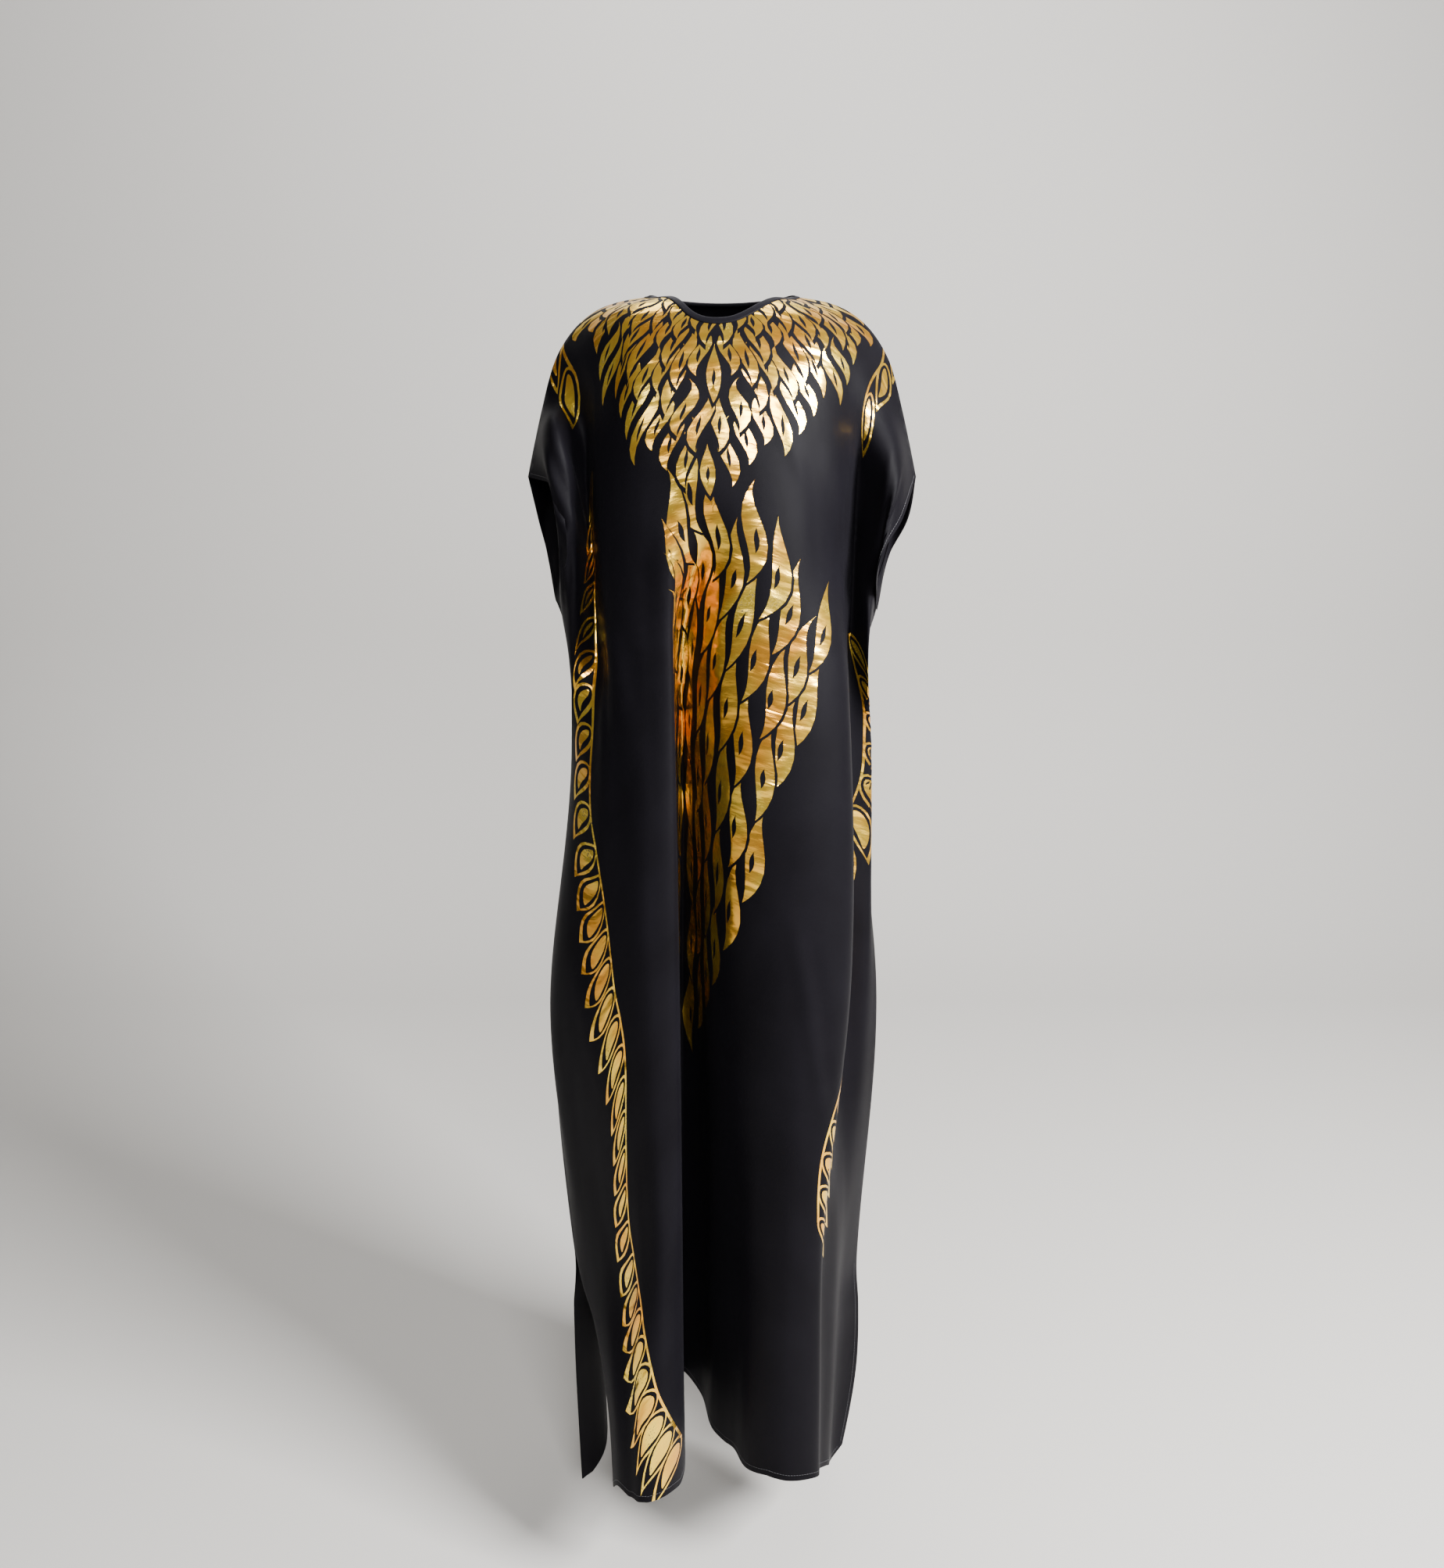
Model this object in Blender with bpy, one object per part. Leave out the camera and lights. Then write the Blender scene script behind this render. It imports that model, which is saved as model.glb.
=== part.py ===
"""A jalabiya of black crepe, worn: two wide panels joined at the shoulders and down the sides.

Metres, +Z up. The front of the garment faces -Y and the wearer's right hand is at -X. The origin is the
middle of the shoulder line. A place on a panel is (u, v): u runs across it from the wearer's right to the
left, 0 at the middle, and v runs down it from the level of the neck.
"""

import bpy
import numpy as np

# The cut, in metres
PANEL_WIDTH = 0.77
PANEL_LENGTH = 1.475
SHOULDER_SLOPE = 0.125  # how much lower the cut starts at the sleeve edge than at the neck
CUFF_OPENING = 0.17  # the sleeve opening, as a share of the side edge
SLIT_FROM = 0.775  # the side slit starts here, as a share of the side edge

# How finely the drape is worked out, and how finely the solids follow it
FINE_ROWS = 141
FINE_COLUMNS = 155
COLUMNS = 53
ROWS = 28
ROW_CROWDING = 1.35  # over 1, rows lie closer together towards the shoulders
EVEN_FROM = 0.16  # from this share down, the cloth has spread evenly across
SEAM_BLEND = 0.10  # how far from a seam its two panels are drawn together
SEAM_EASE = 0.045  # the share of the side edge over which a seam opens into a slit or a cuff

# The neck, whose width is a whole number of the solids' columns
NECK_COLUMNS = 6
NECK_HALF_WIDTH = NECK_COLUMNS * PANEL_WIDTH / (COLUMNS - 1)
NECK_DEPTH = {"front": 0.100, "back": 0.032}
NECK_EASE = 0.30  # the rows have passed the neck's curve at this share of the length

# The cloth and its trims
WALL = 0.0016
SEAM_GAP = 0.0003
BINDING_WIDTH = 0.008
BINDING_WALL = 0.0024
BINDING_GAP = 0.0005  # a little over the seams' gap, since the strip is thicker than the cloth it meets
FACING_COLUMNS = 2
FACING_WALL = 0.0010

# The shoulder line: a place across the panel, and where it lies over shoulder and upper arm
SHOULDER_LINE = (
    # u, x, z in mm
    (0, 0, 22),
    (50, 50, 22),
    (88, 88, 19),
    (130, 129, 10),
    (163, 158, -5),
    (195, 181, -32),
    (240, 197, -72),
    (290, 208, -112),
    (340, 217, -150),
    (385, 224, -182),
)

# How much each hem is cut up from a straight line, across the panel
FRONT_HEM = (
    # u, rise in mm
    (-385, 0),
    (-355, 38),
    (-325, 70),
    (-295, 92),
    (-280, 100),
    (-265, 84),
    (-235, 56),
    (-205, 36),
    (-175, 18),
    (-145, 18),
    (-115, 24),
    (-55, 12),
    (0, 0),
    (100, 8),
    (130, 13),
    (175, 35),
    (212, 52),
    (270, 62),
    (325, 74),
    (385, 68),
)
BACK_HEM = (
    # u, rise in mm
    (-385, 16),
    (-365, 20),
    (-325, 46),
    (-300, 60),
    (-265, 66),
    (-160, 50),
    (250, 44),
    (325, 56),
    (385, 56),
)

# Each fold line of a panel, from the wearer's right side to the left. A yoke row gives where the line
# crosses the shoulder line, then its place in plan (x, y) at four levels, down to the end of the sleeve
# opening. A skirt row goes on from there. All are in mm, and a level is a share of the side edge.
YOKE_LEVELS = (0.05, 0.10, 0.15, 0.20)
SKIRT_LEVELS = (0.30, 0.52, 0.76, 0.88, 1.00)
FRONT_YOKE = (
    # fold line, u, collar bone, upper arm, bust, end of the sleeve opening
    ("side_right", -385, (-185, -52), (-172, -74), (-186, -30), (-178, -2)),
    ("flank_right", -335, (-196, -58), (-184, -64), (-182, -54), (-176, -40)),
    ("sleeve_fold", -285, (-184, -62), (-168, -69), (-166, -62), (-164, -50)),
    ("armhole", -240, (-162, -28), (-157, -22), (-152, -20), (-150, -20)),
    ("lobe_side", -200, (-144, -52), (-138, -66), (-134, -76), (-128, -86)),
    ("lobe_crest", -170, (-126, -60), (-116, -88), (-108, -101), (-92, -110)),
    ("lobe_edge", -145, (-108, -64), (-96, -99), (-86, -112), (-58, -120)),
    ("valley_wall", -115, (-92, -66), (-84, -102), (-72, -116), (-46, -122)),
    ("valley_floor", -85, (-70, -68), (-62, -105), (-54, -120), (-26, -126)),
    ("valley_turn", -40, (-36, -70), (-34, -107), (-28, -122), (-4, -129)),
    ("rise", 5, (4, -71), (4, -108), (4, -124), (20, -131)),
    ("broad_side", 48, (44, -70), (42, -107), (34, -124), (48, -131)),
    ("broad_front", 90, (84, -67), (80, -102), (68, -119), (78, -124)),
    ("broad_crest", 130, (116, -62), (110, -92), (100, -108), (104, -106)),
    ("broad_edge", 175, (142, -54), (134, -72), (128, -86), (128, -78)),
    ("broad_step", 212, (154, -50), (146, -50), (141, -54), (140, -50)),
    ("gutter", 250, (164, -46), (155, -26), (152, -20), (150, -20)),
    ("flank_left", 325, (192, -58), (182, -60), (172, -54), (168, -44)),
    ("side_left", 385, (204, -46), (174, -72), (176, -30), (164, -2)),
)
FRONT_SKIRT = (
    # fold line, waist, hip, slit, shin, hem
    ("side_right", (-170, 30), (-206, 6), (-190, 0), (-136, -86), (-128, -98)),
    ("flank_right", (-178, -8), (-207, -32), (-172, -42), (-137, -122), (-128, -136)),
    ("sleeve_fold", (-168, -44), (-184, -68), (-144, -80), (-126, -148), (-120, -162)),
    ("armhole", (-144, -70), (-150, -98), (-114, -113), (-108, -164), (-105, -176)),
    ("lobe_side", (-118, -96), (-116, -124), (-91, -137), (-91, -174), (-90, -184)),
    ("lobe_crest", (-84, -112), (-80, -139), (-68, -146), (-68, -168), (-68, -178)),
    ("lobe_edge", (-56, -115), (-54, -134), (-52, -137), (-51, -146), (-50, -153)),
    ("valley_wall", (-54, -84), (-56, -62), (-54, -54), (-52, -56), (-49, -58)),
    ("valley_floor", (-42, -58), (-46, 6), (-50, 30), (-52, 36), (-50, 38)),
    ("valley_turn", (-22, -90), (-30, -30), (-28, 4), (-28, 8), (-28, 9)),
    ("rise", (4, -122), (-14, -88), (-12, -56), (-12, -50), (-13, -46)),
    ("broad_side", (32, -135), (10, -128), (12, -102), (13, -98), (14, -94)),
    ("broad_front", (70, -137), (50, -148), (38, -138), (34, -138), (30, -139)),
    ("broad_crest", (106, -127), (98, -151), (80, -156), (74, -157), (70, -158)),
    ("broad_edge", (139, -100), (144, -126), (114, -144), (114, -142), (115, -138)),
    ("broad_step", (142, -64), (147, -84), (118, -120), (118, -116), (118, -110)),
    ("gutter", (142, -26), (142, -34), (138, -86), (134, -90), (128, -92)),
    ("flank_left", (177, -12), (174, -26), (152, -40), (144, -54), (132, -66)),
    ("side_left", (166, 30), (190, 2), (172, 0), (170, -26), (138, -60)),
)
BACK_YOKE = (
    # fold line, u, collar bone, upper arm, bust, end of the sleeve opening
    ("side_right", -385, (-220, 46), (-209, 68), (-196, 40), (-178, -2)),
    ("flank_right", -335, (-208, 50), (-200, 56), (-188, 52), (-178, 42)),
    ("armhole_right", -280, (-192, 54), (-178, 56), (-164, 48), (-161, 46)),
    ("crest_1", -215, (-164, 48), (-152, 38), (-142, 72), (-136, 106)),
    ("valley_1", -145, (-128, 58), (-118, 88), (-104, 104), (-94, 114)),
    ("crest_2", -75, (-70, 64), (-64, 100), (-56, 114), (-50, 124)),
    ("valley_2", 0, (0, 66), (0, 102), (0, 114), (0, 122)),
    ("crest_3", 75, (70, 64), (64, 100), (56, 114), (50, 124)),
    ("valley_3", 145, (128, 58), (118, 88), (104, 104), (92, 114)),
    ("crest_4", 215, (164, 48), (152, 38), (142, 72), (134, 106)),
    ("armhole_left", 280, (192, 54), (178, 56), (162, 48), (156, 46)),
    ("flank_left", 335, (208, 50), (198, 56), (180, 50), (168, 40)),
    ("side_left", 385, (222, 44), (198, 66), (184, 40), (164, -2)),
)
BACK_SKIRT = (
    # fold line, waist, hip, slit, shin, hem
    ("side_right", (-170, 30), (-206, 6), (-190, 0), (-186, -18), (-178, -36)),
    ("flank_right", (-170, 80), (-198, 56), (-173, 48), (-160, 26), (-152, 10)),
    ("armhole_right", (-156, 112), (-168, 102), (-156, 96), (-156, 86), (-156, 78)),
    ("crest_1", (-124, 144), (-128, 154), (-121, 152), (-126, 150), (-130, 150)),
    ("valley_1", (-90, 116), (-92, 98), (-84, 93), (-84, 94), (-85, 96)),
    ("crest_2", (-48, 150), (-48, 162), (-44, 160), (-44, 161), (-45, 162)),
    ("valley_2", (-2, 114), (-2, 98), (-3, 96), (-4, 97), (-5, 98)),
    ("crest_3", (45, 152), (45, 164), (37, 162), (36, 163), (35, 164)),
    ("valley_3", (86, 116), (89, 98), (77, 96), (76, 97), (75, 98)),
    ("crest_4", (122, 146), (125, 154), (111, 152), (110, 152), (108, 152)),
    ("armhole_left", (148, 114), (160, 102), (146, 96), (144, 100), (140, 104)),
    ("flank_left", (164, 82), (184, 52), (166, 48), (158, 54), (150, 60)),
    ("side_left", (166, 30), (190, 2), (172, 0), (156, 8), (136, 14)),
)

# Colours and finish
CREPE = (0.012, 0.011, 0.014, 1.0)
BIAS_CLOTH = (0.014, 0.013, 0.016, 1.0)


def smooth_through(knots, values, at):
    """Points at the places `at` on a smooth curve through values, which has a row for each knot."""
    knots = np.asarray(knots, float)
    values = np.asarray(values, float)
    steps = np.diff(knots)[:, None]
    slopes = np.diff(values, axis=0) / steps
    tangents = np.concatenate([slopes[:1], slopes[1:], slopes[-1:]])
    share = steps[1:] / (steps[:-1] + steps[1:])
    tangents[1:-1] = slopes[:-1] * share + slopes[1:] * (1 - share)
    span = np.clip(np.searchsorted(knots, at, side="right") - 1, 0, len(knots) - 2)
    f = ((np.asarray(at) - knots[span]) / steps[span, 0])[:, None]
    start = values[span] * (2 * f**3 - 3 * f**2 + 1) + values[span + 1] * (3 * f**2 - 2 * f**3)
    return start + steps[span] * (tangents[span] * (f**3 - 2 * f**2 + f) + tangents[span + 1] * (f**3 - f**2))


def unit(vectors):
    return vectors / np.linalg.norm(vectors, axis=-1, keepdims=True)


def soft_step(x):
    x = np.clip(x, 0.0, 1.0)
    return x * x * (3 - 2 * x)


def shoulder_cut(u):
    """How far below the level of the neck the cut starts, across the panel."""
    share = np.clip((np.abs(u) - NECK_HALF_WIDTH) / (PANEL_WIDTH / 2 - NECK_HALF_WIDTH), 0, 1)
    return SHOULDER_SLOPE * share**1.4


def shoulder_point(u):
    table = np.array(SHOULDER_LINE) / 1000.0
    x, z = smooth_through(table[:, 0], table[:, 1:], np.array([abs(u)]))[0]
    return np.array([np.copysign(x, u), 0.0, z])


def fold_lines(yoke, skirt, shares):
    """The fold lines in space, an array (rows, folds, 3). The cloth keeps its length down each of them."""
    lines = np.empty((len(shares), len(yoke), 3))
    for column, ((_, u_mm, *upper), (_, *lower)) in enumerate(zip(yoke, skirt)):
        u = u_mm / 1000.0
        top = shoulder_point(u)
        plan = np.vstack([top[None, :2], np.array(upper + lower) / 1000.0])
        xy = smooth_through((0.0,) + YOKE_LEVELS + SKIRT_LEVELS, plan, shares)
        along = (PANEL_LENGTH - shoulder_cut(u)) * np.diff(shares)
        sideways = np.linalg.norm(np.diff(xy, axis=0), axis=1)
        falls = np.sqrt(np.maximum(along**2 - sideways**2, (0.1 * along) ** 2))
        lines[:, column, :2] = xy
        lines[:, column, 2] = top[2] - np.concatenate([[0.0], np.cumsum(falls)])
    return lines


def drape(yoke, skirt):
    """The panel's middle surface, an array (FINE_ROWS, FINE_COLUMNS, 3), evenly spaced in share and in u."""
    shares = np.linspace(0, 1, FINE_ROWS)
    u = np.linspace(-PANEL_WIDTH / 2, PANEL_WIDTH / 2, FINE_COLUMNS)
    fold_u = np.array([fold[1] for fold in yoke]) / 1000.0
    surface = np.empty((FINE_ROWS, FINE_COLUMNS, 3))
    for row, points in enumerate(fold_lines(yoke, skirt, shares)):
        chords = np.concatenate([[0.0], np.cumsum(np.linalg.norm(np.diff(points, axis=0), axis=1))])
        along = np.linspace(0, chords[-1], 600)
        curve = smooth_through(chords, points, along)
        run = np.concatenate([[0.0], np.cumsum(np.linalg.norm(np.diff(curve, axis=0), axis=1))])
        # The shoulders hold each fold line at its own u, and lower down the cloth spreads evenly
        held = np.interp(u, fold_u, np.interp(chords, along, run))
        even = np.linspace(0, run[-1], FINE_COLUMNS)
        freed = soft_step(shares[row] / EVEN_FROM)
        places = held + (even - held) * freed
        for axis in range(3):
            surface[row, :, axis] = np.interp(places, run, curve[:, axis])
    return surface


def how_sewn(share):
    """1 along the side seam, easing to 0 beyond its ends."""
    return soft_step((share - CUFF_OPENING) / SEAM_EASE + 1) * soft_step((SLIT_FROM - share) / SEAM_EASE + 1)


def draw_together(front, back):
    """Brings the two panels' side edges to one line where they are sewn."""
    sewn = how_sewn(np.linspace(0, 1, FINE_ROWS))
    across = np.linspace(0, PANEL_WIDTH, FINE_COLUMNS)
    for edge, reach in ((0, across), (-1, across[::-1])):
        near = 1 - soft_step(reach / SEAM_BLEND)
        middle = (front[:, edge] + back[:, edge]) / 2
        for panel in (front, back):
            pull = (middle - panel[:, edge]) * sewn[:, None]
            panel += pull[:, None, :] * near[None, :, None]
    level = (front[0] + back[0]) / 2
    front[0] = level
    back[0] = level


def on_cloth(surface, u, share):
    """Points of the surface at places across (u) and down (share of the side edge), arrays of one shape."""
    column = np.clip((u / PANEL_WIDTH + 0.5) * (FINE_COLUMNS - 1), 0, FINE_COLUMNS - 1)
    row = np.clip(share * (FINE_ROWS - 1), 0, FINE_ROWS - 1)
    c = np.minimum(column.astype(int), FINE_COLUMNS - 2)
    r = np.minimum(row.astype(int), FINE_ROWS - 2)
    fc = (column - c)[..., None]
    fr = (row - r)[..., None]
    upper = surface[r, c] * (1 - fc) + surface[r, c + 1] * fc
    lower = surface[r + 1, c] * (1 - fc) + surface[r + 1, c + 1] * fc
    return upper * (1 - fr) + lower * fr


def panel_grid(surface, neck_depth, hem):
    """The panel's middle surface on the solids' own grid, an array (ROWS, COLUMNS, 3), and its shares."""
    u = np.linspace(-PANEL_WIDTH / 2, PANEL_WIDTH / 2, COLUMNS)
    even = np.linspace(0, 1, ROWS)[:, None] ** ROW_CROWDING
    neck = neck_depth * np.clip(1 - (np.abs(u) / NECK_HALF_WIDTH) ** 2.4, 0, 1) / PANEL_LENGTH
    share = even + neck * np.clip(1 - even / NECK_EASE, 0, 1)
    hem_line = np.array(hem) / 1000.0
    rise = np.interp(u, hem_line[:, 0], hem_line[:, 1]) / PANEL_LENGTH
    share = share - rise * np.clip((share - SLIT_FROM) / (1 - SLIT_FROM), 0, 1)
    return on_cloth(surface, np.broadcast_to(u, share.shape), share), share


def normals_of(grid, facing):
    """Unit normals of a grid. facing is +1 where down x across points out of the garment, and -1 where it points in."""
    across = np.gradient(grid, axis=1)
    down = np.gradient(grid, axis=0)
    return unit(np.cross(down, across) * facing)


def grid_solid(name, outer, inner, material):
    """A closed wall between two grids of points, its faces pointing out."""
    rows, columns = outer.shape[:2]
    index = np.arange(rows * columns).reshape(rows, columns)
    skin = []
    for r in range(rows - 1):
        for c in range(columns - 1):
            # The same diagonal on both sides keeps the wall even, and lets a strip lie flat on it
            skin.append((index[r, c], index[r + 1, c], index[r + 1, c + 1]))
            skin.append((index[r, c], index[r + 1, c + 1], index[r, c + 1]))
    shift = rows * columns
    faces = skin + [tuple(corner + shift for corner in reversed(face)) for face in skin]
    rim = list(index[0, :]) + list(index[1:, -1]) + list(index[-1, -2::-1]) + list(index[-2:0:-1, 0])
    for a, b in zip(rim, rim[1:] + rim[:1]):
        faces.append((a, b, b + shift, a + shift))
    return mesh_solid(name, np.concatenate([outer.reshape(-1, 3), inner.reshape(-1, 3)]), faces, material)


def mesh_solid(name, points, faces, material):
    mesh = bpy.data.meshes.new(name)
    mesh.from_pydata(points.tolist(), [], [tuple(int(i) for i in face) for face in faces])
    mesh.update()
    if signed_volume(mesh) < 0:
        mesh.flip_normals()
    mesh.materials.append(material)
    mesh.shade_smooth()
    solid = bpy.data.objects.new(name, mesh)
    garment.objects.link(solid)
    return solid


def signed_volume(mesh):
    mesh.calc_loop_triangles()
    corners = np.array([[mesh.vertices[i].co for i in triangle.vertices] for triangle in mesh.loop_triangles])
    return float(np.einsum("ij,ij->i", corners[:, 0], np.cross(corners[:, 1], corners[:, 2])).sum()) / 6


def open_seams(grid):
    """Draws the side edges and the shoulder edge of a grid back from the seam by half the gap."""
    half = SEAM_GAP / 2
    for edge, inward in ((grid[:, 0], grid[:, 1]), (grid[:, -1], grid[:, -2]), (grid[0], grid[1])):
        towards = inward - edge
        edge += unit(towards) * half


def share_normals(front, back, edge, weight):
    """Turns both panels' normals along an edge to one shared direction, so that the walls meet face to face."""
    shared = unit(front[edge] + back[edge])
    for normals in (front, back):
        normals[edge] = unit(normals[edge] * (1 - weight[:, None]) + shared * weight[:, None])


def neck_binding(front, front_normals, back, back_normals):
    """A narrow folded strip that carries on the cloth's surface from the cut edge of the neck into the hole."""
    middle = COLUMNS // 2
    ahead = range(middle - NECK_COLUMNS, middle + NECK_COLUMNS + 1)
    behind = range(middle + NECK_COLUMNS - 1, middle - NECK_COLUMNS, -1)
    ring = np.concatenate([front[0, list(ahead)], back[0, list(behind)]])
    out = np.concatenate([front_normals[0, list(ahead)], back_normals[0, list(behind)]])
    ahead_of = unit(np.roll(ring, -1, axis=0) - ring)
    behind_of = np.roll(ahead_of, 1, axis=0)
    into_hole = unit(np.cross(out, ahead_of + behind_of))
    # At a corner the strip's edge lies further out, as a mitre does
    into_hole /= np.sqrt((1 + np.einsum("ij,ij->i", ahead_of, behind_of)) / 2)[:, None]
    to_centre = ring.mean(axis=0) - ring
    into_hole *= np.sign(np.einsum("ij,ij->i", into_hole, to_centre))[:, None]
    near = ring + into_hole * BINDING_GAP
    far = ring + into_hole * (BINDING_GAP + BINDING_WIDTH)
    half = out * BINDING_WALL / 2
    loops = np.stack([near + half, far + half, far - half, near - half])
    return loops


def ring_solid(name, loops, material):
    """A closed ring whose section is a loop of points, an array (points of the section, stations, 3)."""
    sides, stations = loops.shape[:2]
    faces = [
        (s * stations + k, s * stations + (k + 1) % stations, (s + 1) % sides * stations + (k + 1) % stations,
         (s + 1) % sides * stations + k)
        for s in range(sides)
        for k in range(stations)
    ]
    return mesh_solid(name, loops.reshape(-1, 3), faces, material)


def cloth_material(name, colour, roughness):
    material = bpy.data.materials.new(name)
    material.use_nodes = True
    shader = material.node_tree.nodes["Principled BSDF"]
    shader.inputs["Base Color"].default_value = colour
    shader.inputs["Roughness"].default_value = roughness
    shader.inputs["Sheen Weight"].default_value = 0.3
    return material


for startup in list(bpy.data.objects):
    bpy.data.objects.remove(startup)
garment = bpy.data.collections.new("jalabiya")
bpy.context.scene.collection.children.link(garment)
crepe = cloth_material("black crepe", CREPE, 0.6)
bias_cloth = cloth_material("bias crepe", BIAS_CLOTH, 0.65)

front_surface = drape(FRONT_YOKE, FRONT_SKIRT)
back_surface = drape(BACK_YOKE, BACK_SKIRT)
draw_together(front_surface, back_surface)

front_grid, edge_shares = panel_grid(front_surface, NECK_DEPTH["front"], FRONT_HEM)
back_grid, _ = panel_grid(back_surface, NECK_DEPTH["back"], BACK_HEM)
front_normals = normals_of(front_grid, 1)
back_normals = normals_of(back_grid, -1)
side_seam = how_sewn(edge_shares[:, 0])
from_middle = np.abs(np.arange(COLUMNS) - COLUMNS // 2)
shoulder_seam = (from_middle >= NECK_COLUMNS).astype(float)
share_normals(front_normals, back_normals, np.s_[:, 0], side_seam)
share_normals(front_normals, back_normals, np.s_[:, -1], side_seam)
share_normals(front_normals, back_normals, np.s_[0, :], shoulder_seam)
open_seams(front_grid)
open_seams(back_grid)

for name, grid, normals in (
    ("front_panel", front_grid, front_normals),
    ("back_panel", back_grid, back_normals),
):
    grid_solid(name, grid + normals * WALL / 2, grid - normals * WALL / 2, crepe)

binding = neck_binding(front_grid, front_normals, back_grid, back_normals)
ring_solid("neck_binding", binding, bias_cloth)

# The facing lies inside the back of the wearer's left sleeve opening, made from the panel's own points
facing_rows = int((edge_shares[:, -1] < CUFF_OPENING - SEAM_EASE / 2).sum())
strip = np.s_[:facing_rows, COLUMNS - 1 - FACING_COLUMNS :]
inward = WALL / 2 + SEAM_GAP
facing_outer = back_grid[strip] - back_normals[strip] * inward
facing_inner = facing_outer - back_normals[strip] * FACING_WALL
grid_solid("sleeve_facing_left", facing_outer, facing_inner, crepe)
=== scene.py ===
import math

import bpy
import numpy as np
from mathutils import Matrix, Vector
from mathutils.geometry import delaunay_2d_cdt


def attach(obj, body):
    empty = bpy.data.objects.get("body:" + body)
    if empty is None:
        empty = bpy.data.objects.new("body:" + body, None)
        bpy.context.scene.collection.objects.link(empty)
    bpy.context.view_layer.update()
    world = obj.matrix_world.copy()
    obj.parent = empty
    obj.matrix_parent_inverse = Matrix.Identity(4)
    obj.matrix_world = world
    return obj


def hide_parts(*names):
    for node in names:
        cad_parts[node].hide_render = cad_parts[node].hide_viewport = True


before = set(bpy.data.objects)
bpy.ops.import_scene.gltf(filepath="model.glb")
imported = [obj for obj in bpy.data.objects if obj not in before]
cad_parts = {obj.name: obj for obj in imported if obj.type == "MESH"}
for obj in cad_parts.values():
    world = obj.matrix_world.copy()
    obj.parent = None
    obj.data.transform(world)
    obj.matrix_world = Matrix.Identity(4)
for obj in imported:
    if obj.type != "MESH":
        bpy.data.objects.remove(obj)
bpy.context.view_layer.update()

# The front and back panels: two wide pieces of light black crepe, cut alike, sewn at the shoulders and
# down the sides from the sleeve openings to the slits. They hang in deep folds from the shoulders.
# A place on a panel is (u, share): u across it, share down its side edge. x and v are its flat metres.
PANEL_WIDTH = 0.77
PANEL_LENGTH = 1.475
PANEL_STRIPS = 52
SHOULDER_SLOPE = 0.125
SHOULDER_CURVE = 1.4
CUFF_OPENING = 0.17
SLIT_FROM = 0.775
NECK_HALF_WIDTH = 6 * PANEL_WIDTH / PANEL_STRIPS
NECK_ROUNDNESS = 2.4
FRONT_NECK_DEPTH = 0.100
BACK_NECK_DEPTH = 0.032
ROWS = 281
COLUMNS = 309
CURVE_POINTS = 1500
LEAST_FALL = 0.1
EVEN_FROM = 0.16
SEAM_BLEND = 0.10
SEAM_EASE = 0.045

# The shoulder line, and how much each hem is cut up from a straight line, in mm
SHOULDER_LINE = (
    # u, x, z
    (0, 0, 22),
    (50, 50, 22),
    (88, 88, 19),
    (130, 129, 10),
    (163, 158, -5),
    (195, 181, -32),
    (240, 197, -72),
    (290, 208, -112),
    (340, 217, -150),
    (385, 224, -182),
)
FRONT_HEM = (
    # u, rise
    (-385, 0),
    (-355, 38),
    (-325, 70),
    (-295, 92),
    (-280, 100),
    (-265, 84),
    (-235, 56),
    (-205, 36),
    (-175, 18),
    (-145, 18),
    (-115, 24),
    (-55, 12),
    (0, 0),
    (100, 8),
    (130, 13),
    (175, 35),
    (212, 52),
    (270, 62),
    (325, 74),
    (385, 68),
)
BACK_HEM = (
    # u, rise
    (-385, 16),
    (-365, 20),
    (-325, 46),
    (-300, 60),
    (-265, 66),
    (-160, 50),
    (250, 44),
    (325, 56),
    (385, 56),
)

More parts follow.
